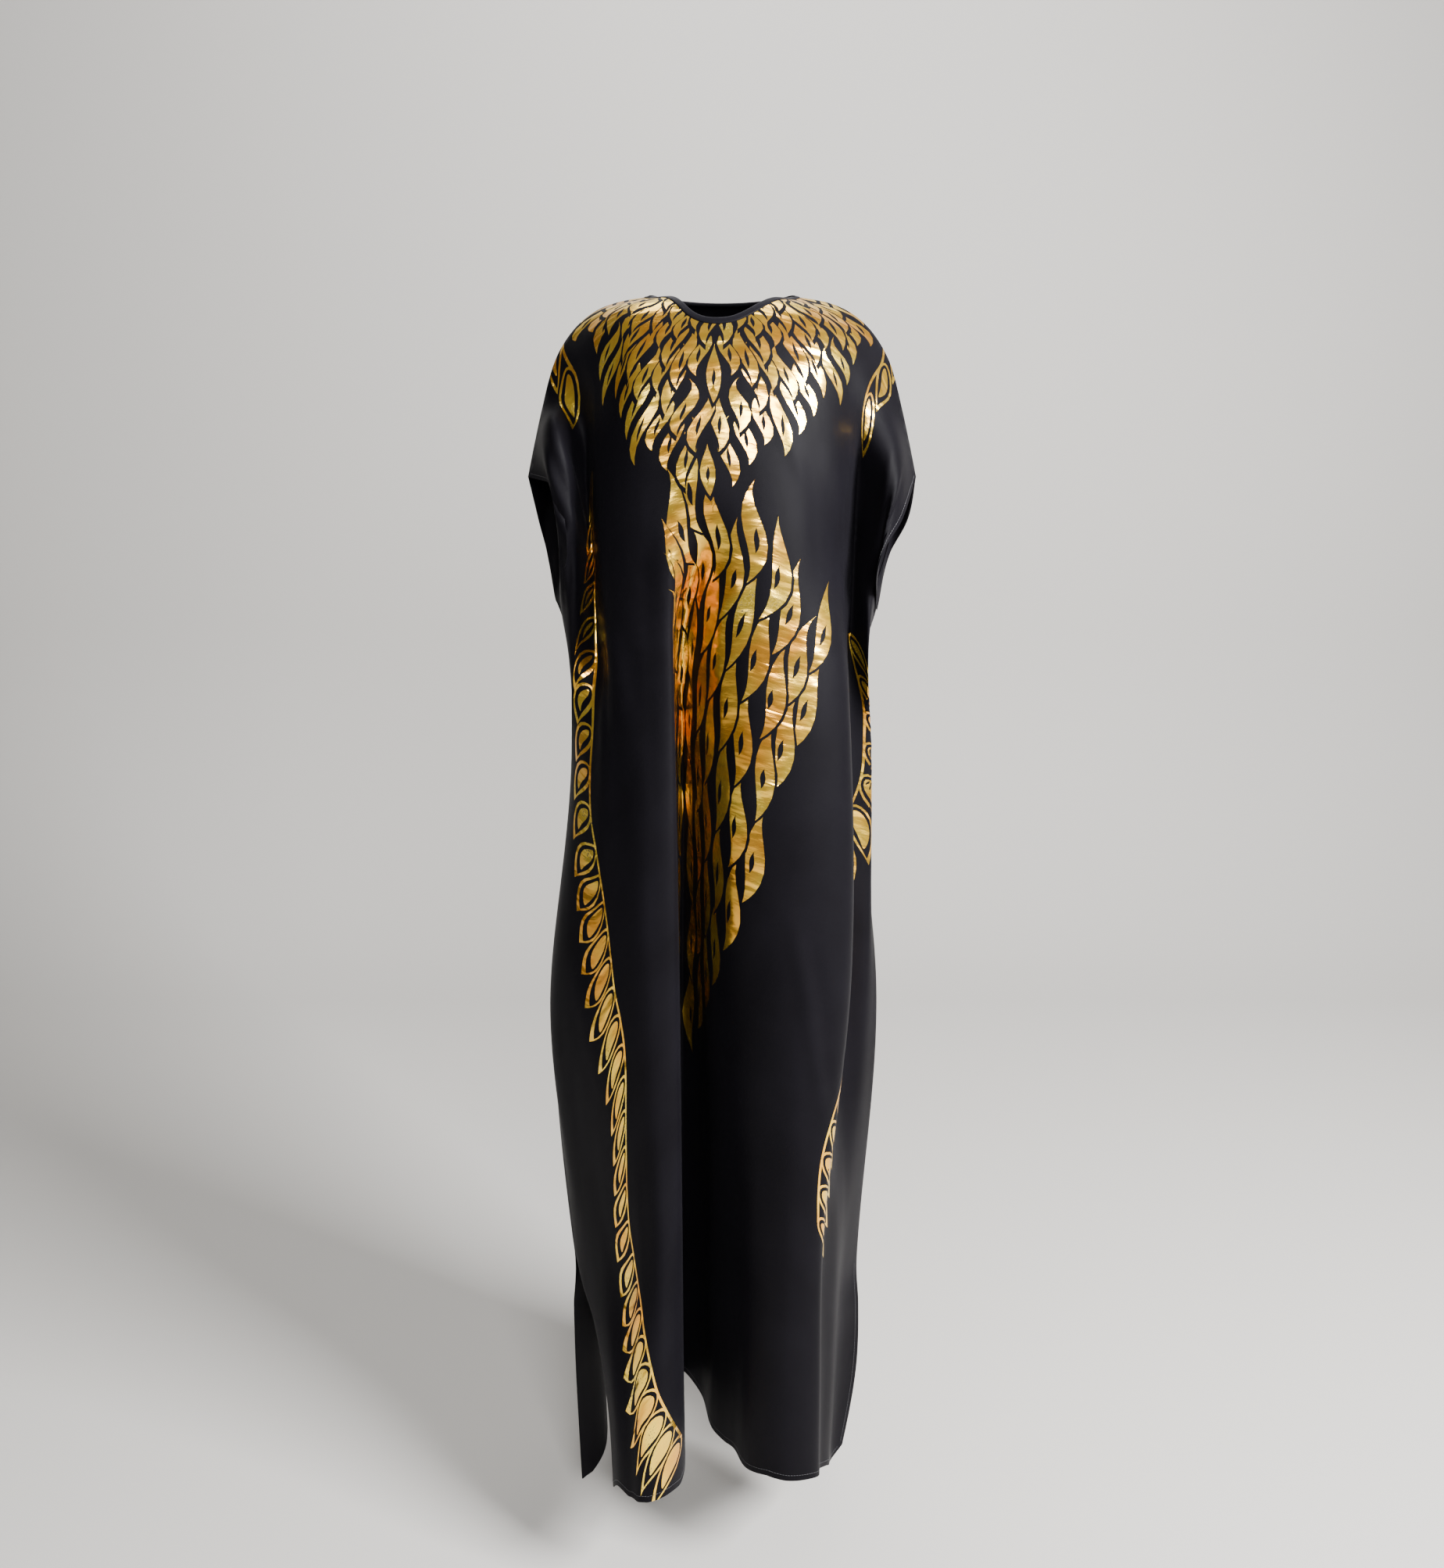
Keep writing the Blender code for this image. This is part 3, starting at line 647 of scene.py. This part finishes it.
def uneven(k):
    """A fixed number between -1 and 1 for each petal, so that no two are quite alike."""
    return (math.sin(12.9898 * (k + 1)) * 43758.5453 % 1) * 2 - 1


def petal_print():
    """The strands' petals from the tips up, each over a dark gap and with a dark slit in it."""
    motifs = []
    for number, (first, last, places) in enumerate(PETAL_STRANDS):
        side = 1 if number < LEFT_STRANDS else -1
        k = 20 * number
        tip_v = last
        while tip_v - SHORTEST_PETAL * PETAL_LENGTH > first:
            k += 1
            low_v = tip_v + 0.004 * uneven(k)
            high_v = low_v - PETAL_LENGTH * (1 + 0.05 * uneven(k + 4))
            low_x, high_x = np.interp((low_v, high_v), PETAL_LEVELS, places)
            root = np.array([high_x + side * (PETAL_LEAN[0] + 0.003 * uneven(k + 9)), high_v])
            tip = np.array([low_x - side * PETAL_LEAN[1], low_v])
            width = PETAL_WIDTH * (1 + 0.08 * uneven(k + 5))
            first_bow = side * (PETAL_BOWS[0] + 0.008 * uneven(k + 7))
            bows = (first_bow, side * (PETAL_BOWS[1] + 0.006 * uneven(k + 2)))
            below = tip + (0, GAP_BELOW)
            gap = leaf(root, below, width + PETAL_GAP, bows, PETAL_WIDEST, PETAL_STEPS)
            petal = leaf(root, tip, width, bows, PETAL_WIDEST, PETAL_STEPS)
            start = root + (tip - root) * (SLIT_SPAN[0] + 0.03 * uneven(k + 1))
            end = root + (tip - root) * (SLIT_SPAN[1] + 0.03 * uneven(k + 6))
            slit = leaf(start, end, SLIT_WIDTH, (side * SLIT_BOW, side * -SLIT_BOW), 0.5, 9)
            motifs += [(gap, BARE), (petal, FOIL), (slit, BARE)]
            tip_v -= PETAL_STEP
    return motifs


# Round the neck lies a yoke of flame petals in rows, their tips outward and down
YOKE_RIM = (
    # x, v
    (0.136, -0.024),
    (0.154, 0.020),
    (0.176, 0.062),
    (0.180, 0.100),
    (0.168, 0.138),
    (0.149, 0.166),
    (0.122, 0.191),
    (0.098, 0.214),
    (0.080, 0.242),
    (0.056, 0.264),
    (0.030, 0.284),
    (0.0, 0.292),
)
YOKE_HEART = (0.0, 0.010)
YOKE_ROWS = (
    # reach, petals, length, width
    (1.00, 15, 0.068, 0.0170),
    (0.82, 13, 0.070, 0.0175),
    (0.64, 11, 0.066, 0.0165),
    (0.47, 9, 0.056, 0.0150),
)
YOKE_GAP = 0.0030
YOKE_BOWS = (0.026, -0.020)
YOKE_STEPS = 11
YOKE_SLIT = 0.0044
YOKE_SLIT_SPAN = (0.42, 0.74)
YOKE_SLIT_BOWS = (0.002, -0.002)
YOKE_FALL = 0.36
RAGGED = 0.05


def yoke():
    """The wearer's left half of the yoke, from its outer row in: each row lies over the one before."""
    rim = np.array(YOKE_RIM)
    run = lengths_along(rim)
    heart = np.array(YOKE_HEART)
    motifs = []
    for row, (reach, count, length, width) in enumerate(YOKE_ROWS):
        for k in range(count + 1):
            part = (k + (0.5 if row % 2 else 0.0)) / count
            if part > 1.001:
                continue
            edge = np.array([np.interp(part * run[-1], run, rim[:, axis]) for axis in (0, 1)])
            outward = (edge - heart) / np.linalg.norm(edge - heart)
            middle = part > 0.999
            ragged = 0.0 if middle else RAGGED * ((k * 5 + row * 3) % 4 - 2.5) / 1.5
            tip = heart + (edge - heart) * (reach + ragged)
            way = outward * 0.8 + np.array([0.0, YOKE_FALL])
            way = way / np.linalg.norm(way)
            stretch = length * (1 + 0.14 * ((k * 7 + row) % 3 - 1))
            root = tip - way * stretch
            bows = (0.0, 0.0) if middle else YOKE_BOWS
            for gap, colour in ((YOKE_GAP, BARE), (0.0, FOIL)):
                end = tip + way * gap * 2
                petal = leaf(root, end, width + 2 * gap, bows, PETAL_WIDEST, YOKE_STEPS)
                motifs.append((petal, colour))
            start, end = (root + way * stretch * share for share in YOKE_SLIT_SPAN)
            motifs.append((leaf(start, end, YOKE_SLIT, YOKE_SLIT_BOWS, 0.5, 7), BARE))
    return motifs


right_border = mirrored(border(SLEEVE_BORDER_RIGHT) + border(BORDER_RIGHT))
left_border = border(SLEEVE_BORDER_LEFT) + border(HIP_BORDER_LEFT)
yoke_print = yoke() + mirrored(yoke())
front_print = right_border + left_border + petal_print() + yoke_print
back_print = right_border + mirrored(right_border) + yoke_print

# The panel's mesh: its flat outline filled with triangles that follow the print's edges, laid on the
# drape and given the cloth's thickness. The hems are turned in and stitched, so the edges are thicker.
CLOTH_THICKNESS = 0.0005
HEM_TURN = 0.009
HEM_EXTRA = 0.0007
HEM_STEP = 0.0012
EDGE_STEP = 0.006
EDGE_POINTS = 157
EDGE_ROOM = (0.0025, 0.002)
GRID_STEP = (0.0045, 0.0110)
CLEAR_OF_PRINT = 0.003
PLACE_PASSES = 14
MERGE_WITHIN = 1e-6


class Flat:
    """Flat metres of one panel from its places on the drape, and back."""

    def __init__(self, surface, neck_depth, hem):
        self.surface = surface
        self.widths = np.linalg.norm(np.diff(surface, axis=1), axis=2).sum(axis=1)
        self.neck_depth = neck_depth
        self.hem = np.array(hem) / 1000

    def width(self, share):
        return np.interp(share, np.linspace(0, 1, ROWS), self.widths)

    def top(self, u):
        dip = np.clip(1 - (np.abs(u) / NECK_HALF_WIDTH) ** NECK_ROUNDNESS, 0, 1)
        return self.neck_depth * dip / PANEL_LENGTH

    def bottom(self, u):
        return 1 - np.interp(u, self.hem[:, 0], self.hem[:, 1]) / PANEL_LENGTH

    def to_flat(self, u, share):
        cut = shoulder_cut(u)
        return u / PANEL_WIDTH * self.width(share), cut + share * (PANEL_LENGTH - cut)

    def to_place(self, x, v):
        share = v / PANEL_LENGTH
        u = x
        for _ in range(PLACE_PASSES):
            u = np.clip(x * PANEL_WIDTH / self.width(share), -PANEL_WIDTH / 2, PANEL_WIDTH / 2)
            cut = shoulder_cut(u)
            share = (v - cut) / (PANEL_LENGTH - cut)
        return u, share


def outline_places(flat):
    """The panel's cut edge: along the shoulders and neck, down one side, along the hem and up again."""
    half = PANEL_WIDTH / 2
    across = np.linspace(-half, half, EDGE_POINTS)
    right = np.arange(EDGE_STEP, PANEL_LENGTH, EDGE_STEP) / PANEL_LENGTH
    last = flat.bottom(np.array([half]))[0]
    first = flat.bottom(np.array([-half]))[0]
    down = right[right < last - EDGE_ROOM[1]]
    up = right[right < first - EDGE_ROOM[1]][::-1]
    u = np.concatenate([across, np.full(len(down), half), across[::-1], np.full(len(up), -half)])
    share = np.concatenate([flat.top(across), down, flat.bottom(across[::-1]), up])
    return u, share


def signed_area(points):
    x, y = points[:, 0], points[:, 1]
    return 0.5 * float(np.dot(x, np.roll(y, -1)) - np.dot(y, np.roll(x, -1)))


def covered(points, outline):
    """Which of the points lie within a closed outline."""
    result = np.zeros(len(points), dtype=bool)
    in_box = (points > outline.min(axis=0)) & (points < outline.max(axis=0))
    near = np.flatnonzero(in_box.all(axis=1))
    x, y = points[near, 0:1], points[near, 1:2]
    ax, ay = outline.T
    bx, by = np.roll(outline, -1, axis=0).T
    rise = np.where(by == ay, 1.0, by - ay)
    crossed = ((ay > y) != (by > y)) & (x < (bx - ax) * (y - ay) / rise + ax)
    result[near] = crossed.sum(axis=1) % 2 == 1
    return result


def fill(outline, motifs, flat):
    """Triangles of the outline in flat metres: their points, corners and colours."""
    points = [outline]
    faces = [list(range(len(outline)))]
    count = len(outline)
    for shape, _ in motifs:
        if signed_area(shape) < 0:
            shape = shape[::-1]
        points.append(shape)
        faces.append(list(range(count, count + len(shape))))
        count += len(shape)
    half = flat.widths.max() / 2
    levels = np.arange(0.004, PANEL_LENGTH, GRID_STEP[1])
    gx, gv = np.meshgrid(np.arange(-half, half, GRID_STEP[0]), levels)
    gx = gx + GRID_STEP[0] / 2 * (np.arange(gx.shape[0]) % 2)[:, None]
    gx, gv = gx.ravel(), gv.ravel()
    u, share = flat.to_place(gx, gv)
    edge = (1 - np.abs(u) / (PANEL_WIDTH / 2)) * flat.width(share) / 2
    room = (share > flat.top(u) + EDGE_ROOM[1]) & (share < flat.bottom(u) - EDGE_ROOM[1])
    room &= edge > EDGE_ROOM[0]
    gx, gv = gx[room], gv[room]
    if motifs:
        drawn = np.concatenate([shape for shape, _ in motifs])
        cells = set()
        for dx in (-1, 0, 1):
            for dv in (-1, 0, 1):
                keys = np.floor(drawn / CLEAR_OF_PRINT).astype(int) + (dx, dv)
                cells.update(map(tuple, keys))
        keys = np.floor(np.stack([gx, gv], axis=1) / CLEAR_OF_PRINT).astype(int)
        free = np.array([tuple(key) not in cells for key in keys])
        gx, gv = gx[free], gv[free]
    points.append(np.stack([gx, gv], axis=1))
    given = [Vector(p) for p in np.concatenate(points).tolist()]
    out_points, _, out_faces, _, _, within = delaunay_2d_cdt(given, [], faces, 0, MERGE_WITHIN)
    kept = [k for k, inside in enumerate(within) if 0 in inside]
    corners = np.array([out_faces[k] for k in kept])
    used, corners = np.unique(corners, return_inverse=True)
    corners = corners.reshape(-1, 3)
    places = np.array([out_points[k][:] for k in used])
    centres = places[corners].mean(axis=1)
    colours = np.full(len(corners), BARE)
    for shape, colour in motifs:
        colours[covered(centres, shape)] = colour
    return places, corners, colours


def rim_of(corners):
    """The boundary of a set of triangles, as one loop of points."""
    edges = np.concatenate([corners[:, [0, 1]], corners[:, [1, 2]], corners[:, [2, 0]]])
    present = set(map(tuple, edges.tolist()))
    after = {a: b for a, b in present if (b, a) not in present}
    start = next(iter(after))
    loop = [start]
    while after[loop[-1]] != start:
        loop.append(after[loop[-1]])
    return loop


def field_normals(surface, facing):
    return unit(np.cross(np.gradient(surface, axis=0), np.gradient(surface, axis=1)) * facing)


def hem_share(flat, u, share):
    """1 where the cloth is turned in at a hem, a slit or a cuff."""
    low = (flat.bottom(u) - share) * PANEL_LENGTH
    side = (1 - np.abs(u) / (PANEL_WIDTH / 2)) * flat.width(share) / 2
    free = 1 - how_sewn(share)
    side = side + (1 - free) * 0.05
    return 1 - soft_step((np.minimum(low, side) - HEM_TURN) / HEM_STEP + 0.5)


def lay_flat(mesh, places):
    """The places of the cloth laid flat, as the mesh's UV map."""
    uv = mesh.uv_layers.new(name="flat")
    corner_point = np.empty(len(mesh.loops), dtype=np.int32)
    mesh.loops.foreach_get("vertex_index", corner_point)
    uv.data.foreach_set("uv", places[corner_point].ravel())


def put_in_scene(name, data):
    thing = bpy.data.objects.new(name, data)
    bpy.context.scene.collection.objects.link(thing)
    return thing


def sewn_panel(name, flat, facing, normals, motifs, materials):
    """One panel: its outer face with the print, its inner face, and the thin wall between their edges."""
    u, share = outline_places(flat)
    outline = np.stack(flat.to_flat(u, share), axis=1)
    outer, outer_faces, colours = fill(outline, motifs, flat)
    loop = rim_of(outer_faces)
    inner, inner_faces, _ = fill(outer[loop], [], flat)
    inner_loop = rim_of(inner_faces)
    near = {tuple(np.round(inner[k], 7)): k for k in inner_loop}
    matched = [near[tuple(np.round(outer[k], 7))] for k in loop]

    def laid(points, side):
        pu, ps = flat.to_place(points[:, 0], points[:, 1])
        out = unit(on_cloth(normals, pu, ps))
        place = on_cloth(flat.surface, pu, ps)
        if side > 0:
            return place + out * CLOTH_THICKNESS / 2, out
        turned = hem_share(flat, pu, ps)[:, None] * HEM_EXTRA
        return place - out * (CLOTH_THICKNESS / 2 + turned), -out

    outer_points, outer_out = laid(outer, 1)
    inner_points, inner_out = laid(inner, -1)
    shift = len(outer)
    front_way = outer_faces[:, ::-1] if facing > 0 else outer_faces
    back_way = (inner_faces if facing > 0 else inner_faces[:, ::-1]) + shift
    rim = []
    for a, b, c, d in zip(loop, loop[1:] + loop[:1], matched[1:] + matched[:1], matched):
        corners = (a, b, c + shift, d + shift)
        rim.append(corners if facing > 0 else corners[::-1])
    faces = front_way.tolist() + back_way.tolist() + [list(face) for face in rim]
    mesh = bpy.data.meshes.new(name)
    mesh.from_pydata(np.concatenate([outer_points, inner_points]).tolist(), [], faces)
    for material in materials:
        mesh.materials.append(material)
    slots = np.zeros(len(faces), dtype=np.int32)
    slots[: len(colours)] = colours
    mesh.polygons.foreach_set("material_index", slots)
    mesh.shade_smooth()
    lay_flat(mesh, np.concatenate([outer, inner]))
    mesh.normals_split_custom_set_from_vertices(np.concatenate([outer_out, inner_out]).tolist())
    mesh.update()
    return put_in_scene(name, mesh)


front_flat = Flat(front_surface, FRONT_NECK_DEPTH, FRONT_HEM)
back_flat = Flat(back_surface, BACK_NECK_DEPTH, BACK_HEM)
front_normals = field_normals(front_surface, 1)
back_normals = field_normals(back_surface, -1)
# Along the seams both panels share one way out, so that they meet face to face
for column in (0, -1):
    shared = unit(front_normals[:, column] + back_normals[:, column])
    weight = how_sewn(np.linspace(0, 1, ROWS))[:, None]
    for normals in (front_normals, back_normals):
        normals[:, column] = unit(normals[:, column] * (1 - weight) + shared * weight)
shared = unit(front_normals[0] + back_normals[0])
front_normals[0] = shared
back_normals[0] = shared

front = sewn_panel("front_panel_cloth", front_flat, 1, front_normals, front_print, (crepe, gold))
back = sewn_panel("back_panel_cloth", back_flat, -1, back_normals, back_print, (crepe, gold))
for panel, node in ((front, "front_panel"), (back, "back_panel")):
    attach(panel, "root")
    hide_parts(node)

# The neck binding: a bias strip of the same crepe, folded over the cut edge of the neck and stitched
# down, so it stands a little thicker than the cloth and rolls gently into the hole.
BINDING_GAP = 0.0004
BINDING_WIDTH = 0.0081
BINDING_THICKNESS = 0.0024
PUCKER_PITCH = 0.0062
PUCKER_HEIGHT = 0.05
SECTION_WIDTH = 0.0028
MITRE_LIMIT = 0.3
NECK_STATIONS = 150
SECTION_POINTS = 14


def neck_edge(flat, normals, u):
    share = flat.top(u)
    return on_cloth(flat.surface, u, share), unit(on_cloth(normals, u, share))


def volume_of(mesh):
    mesh.calc_loop_triangles()
    corners = np.array([[mesh.vertices[k].co for k in tri.vertices] for tri in mesh.loop_triangles])
    return float(np.einsum("ij,ij->i", corners[:, 0], np.cross(corners[:, 1], corners[:, 2])).sum()) / 6


def mesh_piece(name, points, faces, material, flat_places=None):
    """A closed piece, its faces turned outward."""
    mesh = bpy.data.meshes.new(name)
    mesh.from_pydata(np.asarray(points).tolist(), [], [list(map(int, face)) for face in faces])
    mesh.materials.append(material)
    mesh.shade_smooth()
    if flat_places is not None:
        lay_flat(mesh, flat_places)
    mesh.update()
    if volume_of(mesh) < 0:
        mesh.flip_normals()
    return put_in_scene(name, mesh)


across = np.linspace(-NECK_HALF_WIDTH, NECK_HALF_WIDTH, NECK_STATIONS // 2 + 1)
ahead, ahead_out = neck_edge(front_flat, front_normals, across)
behind, behind_out = neck_edge(back_flat, back_normals, across[-2:0:-1])
ring = np.concatenate([ahead, behind])
ring_out = np.concatenate([ahead_out, behind_out])
onward = unit(np.roll(ring, -1, axis=0) - ring)
before = np.roll(onward, 1, axis=0)
inward = unit(np.cross(ring_out, onward + before))
inward *= np.sign(np.einsum("ij,ij->i", inward, ring.mean(axis=0) - ring))[:, None]
turning = (1 + np.einsum("ij,ij->i", onward, before)) / 2
inward /= np.sqrt(np.clip(turning, MITRE_LIMIT, 1))[:, None]
lengths = lengths_along(ring)
pucker = 1 + PUCKER_HEIGHT * np.sin(lengths / PUCKER_PITCH * 2 * math.pi)
section = np.linspace(0, 2 * math.pi, SECTION_POINTS, endpoint=False)
loops = []
for angle in section:
    wide = np.sign(math.cos(angle)) * abs(math.cos(angle)) ** 0.7
    thick = np.sign(math.sin(angle)) * abs(math.sin(angle)) ** 0.6
    near = BINDING_GAP + BINDING_WIDTH / 2 * (1 + wide)
    loops.append(ring + inward * near + ring_out * (BINDING_THICKNESS / 2 * thick * pucker)[:, None])
count = len(ring)
points = np.concatenate(loops)
faces = []
for s in range(SECTION_POINTS):
    here = s * count
    following = (s + 1) % SECTION_POINTS * count
    for k in range(count):
        beside = (k + 1) % count
        faces.append((here + k, here + beside, following + beside, following + k))
round_section = np.repeat(section, count) * SECTION_WIDTH
flat_places = np.stack([np.tile(lengths, SECTION_POINTS), round_section], axis=1)
BIAS_DARK = (0.0024, 0.0022, 0.0031, 1.0)
BIAS_PALE = (0.0040, 0.0036, 0.0050, 1.0)
bias_crepe = crepe_material("bias_crepe", BIAS_DARK, BIAS_PALE, 0.47, 0.04)
binding = mesh_piece("neck_binding_strip", points, faces, bias_crepe, flat_places)
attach(binding, "root")
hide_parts("neck_binding")

# The sleeve facing, wearer's left: a strip of the panel's own crepe turned inside the back edge of the
# sleeve opening and stitched along its inner edge. It shows where the sleeve opens towards the viewer.
FACING_WIDTH = 2 * PANEL_WIDTH / PANEL_STRIPS
FACING_END = 0.146
FACING_INSET = 0.0011
FACING_THICKNESS = 0.0007
FACING_ROWS = 90
FACING_COLUMNS = 13
FROM_SEAM = 0.0006
FROM_EDGE = 0.0004
half = PANEL_WIDTH / 2
strip = np.linspace(half - FACING_WIDTH, half - FROM_EDGE, FACING_COLUMNS)
facing_u, facing_share = np.meshgrid(strip, np.linspace(FROM_SEAM, FACING_END, FACING_ROWS))
place = on_cloth(back_surface, facing_u, facing_share)
out = unit(on_cloth(back_normals, facing_u, facing_share))
facing_x, facing_v = back_flat.to_flat(facing_u, facing_share)
rows, columns = facing_u.shape
index = np.arange(rows * columns).reshape(rows, columns)
skins = [place - out * FACING_INSET, place - out * (FACING_INSET + FACING_THICKNESS)]
points = np.concatenate([skin.reshape(-1, 3) for skin in skins])
quads = []
for r in range(rows - 1):
    for c in range(columns - 1):
        quads.append((index[r, c], index[r + 1, c], index[r + 1, c + 1], index[r, c + 1]))
shift = rows * columns
faces = quads + [tuple(corner + shift for corner in reversed(quad)) for quad in quads]
rim = list(index[0, :]) + list(index[1:, -1]) + list(index[-1, -2::-1]) + list(index[-2:0:-1, 0])
faces += [(b, a, a + shift, b + shift) for a, b in zip(rim, rim[1:] + rim[:1])]
flat_places = np.tile(np.stack([facing_x.ravel(), facing_v.ravel()], axis=1), (2, 1))
facing = mesh_piece("sleeve_facing_left_cloth", points, faces, crepe, flat_places)
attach(facing, "root")
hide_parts("sleeve_facing_left")

# The hem stitches: one row of fine black polyester thread, sewn by machine round every turned edge:
# the hem, the slits and the sleeve openings. Each stitch sinks into the cloth at both ends.
STITCH_PITCH = 0.0034
STITCH_LENGTH = 0.0026
STITCH_THICKNESS = 0.00042
STITCH_INSET = 0.0075
STITCH_TAPER = 0.22
STITCH_RISE = 0.75
STITCH_SINK = 0.2
STITCH_ROUNDING = 0.25


def stitch_row(flat, normals, u, share):
    """Stitches along a line of places on the cloth."""
    line = on_cloth(flat.surface, u, share)
    out = unit(on_cloth(normals, u, share))
    run = lengths_along(line)
    points = []
    for place in np.arange(STITCH_PITCH, run[-1] - STITCH_PITCH, STITCH_PITCH):
        at = np.array([np.interp(place, run, line[:, axis]) for axis in range(3)])
        ahead = np.array([np.interp(place + 0.001, run, line[:, axis]) for axis in range(3)])
        up = unit(np.array([np.interp(place, run, out[:, axis]) for axis in range(3)]))
        along = unit(ahead - at)
        aside = np.cross(up, along)
        for end in (-1, 1):
            for mid in (0, 1):
                reach = STITCH_LENGTH / 2 * (1 - STITCH_TAPER * mid) * end
                high = CLOTH_THICKNESS / 2 + STITCH_THICKNESS * (STITCH_RISE * mid - STITCH_SINK)
                wide = STITCH_THICKNESS / 2 * (1 - STITCH_ROUNDING * mid)
                spot = at + along * reach + up * high
                points += [spot + aside * wide, spot - aside * wide]
    return points


stitch_points = []
for flat, normals in ((front_flat, front_normals), (back_flat, back_normals)):
    half = PANEL_WIDTH / 2
    inset_u = STITCH_INSET / flat.widths.mean() * PANEL_WIDTH
    low = np.linspace(-half + inset_u, half - inset_u, 400)
    stitch_points += stitch_row(flat, normals, low, flat.bottom(low) - STITCH_INSET / PANEL_LENGTH)
    for side in (-1, 1):
        edge = side * (half - inset_u)
        cuff = np.linspace(0.003, CUFF_OPENING, 100)
        hem = flat.bottom(np.array([edge]))[0] - STITCH_INSET / PANEL_LENGTH
        slit = np.linspace(SLIT_FROM + 0.004, hem, 120)
        for run_of in (cuff, slit):
            stitch_points += stitch_row(flat, normals, np.full(len(run_of), edge), run_of)
faces = []
for k in range(0, len(stitch_points), 8):
    for corners in ((0, 1, 3, 2), (4, 6, 7, 5), (0, 4, 5, 1), (2, 3, 7, 6), (0, 2, 6, 4), (1, 5, 7, 3)):
        faces.append(tuple(k + corner for corner in corners))
thread, nodes, links, shader = new_material("black_thread")
shader.inputs["Sheen Weight"].default_value = 0.1
place = nodes.new("ShaderNodeTexCoord").outputs["Object"]
twist = noise(nodes, links, place, {"Scale": 1400.0})
tones = {"A": (0.010, 0.0095, 0.012, 1.0), "B": (0.028, 0.027, 0.032, 1.0)}
colour = colour_mix(nodes, links, twist, tones)
links.new(colour.outputs["Result"], shader.inputs["Base Color"])
rough = ranged(nodes, links, twist, {"To Min": 0.34, "To Max": 0.55})
links.new(rough, shader.inputs["Roughness"])
stitches = mesh_piece("hem_stitches", stitch_points, faces, thread)
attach(stitches, "root")

# The studio: a pale paper floor that curves up into a pale wall, soft lights from the right, from in
# front and on the wall, and a camera at the height and tilt of the photograph.
FLOOR_LEVEL = -1.50
CURVE_FROM = 1.6
CURVE_RADIUS = 0.8
CURVE_STEPS = 8
backdrop_profile = [(-3.0, 0.0), (CURVE_FROM, 0.0)]
for k in range(1, CURVE_STEPS + 1):
    turn = k / CURVE_STEPS * math.pi / 2
    rise = CURVE_RADIUS * (1 - math.cos(turn))
    backdrop_profile.append((CURVE_FROM + CURVE_RADIUS * math.sin(turn), rise))
backdrop_profile.append((2.4, 4.5))
points = [(x, y, FLOOR_LEVEL + z) for y, z in backdrop_profile for x in (-5.0, 5.0)]
mesh = bpy.data.meshes.new("studio_sweep")
mesh.from_pydata(points, [], [(k, k + 1, k + 3, k + 2) for k in range(0, len(points) - 2, 2)])
mesh.shade_smooth()
sweep = put_in_scene("studio_sweep", mesh)
paper, _, _, shader = new_material("pale_paper")
set_sockets(shader, {"Base Color": (0.43, 0.415, 0.395, 1.0), "Roughness": 0.85})
mesh.materials.append(paper)

world = bpy.data.worlds.new("studio")
world.use_nodes = True
sky = world.node_tree.nodes["Background"]
set_sockets(sky, {"Color": (0.95, 0.97, 1.0, 1.0), "Strength": 0.14})
bpy.context.scene.world = world
for name, place, aim, size, watts in (
    ("key", (1.9, -1.3, 0.7), (0.0, 0.0, -0.2), 0.9, 410),
    ("front", (0.5, -2.7, 0.7), (0.0, 0.0, -0.4), 0.9, 105),
    ("fill", (-1.5, -2.4, 0.4), (0.0, 0.0, -0.6), 0.8, 13),
    ("back", (0.0, 1.2, 2.4), (0.0, 2.4, -0.2), 2.0, 75),
):
    data = bpy.data.lights.new(name, "AREA")
    data.energy = watts
    data.size = size
    lamp = put_in_scene(name, data)
    lamp.location = place
    lamp.rotation_euler = (Vector(aim) - Vector(place)).to_track_quat("-Z", "Y").to_euler()

SENSOR = 36
FOCAL_PIXELS = 1780
PHOTO_HEIGHT = 2006
TILT_DOWN = 9.3
view = bpy.data.cameras.new("view")
view.sensor_width = SENSOR
view.lens = FOCAL_PIXELS / PHOTO_HEIGHT * SENSOR
view.shift_y = -0.0798
camera = put_in_scene("camera", view)
camera.location = (0.0, -1.62, -0.13)
camera.rotation_euler = (math.radians(90 - TILT_DOWN), 0.0, 0.0)
bpy.context.scene.camera = camera
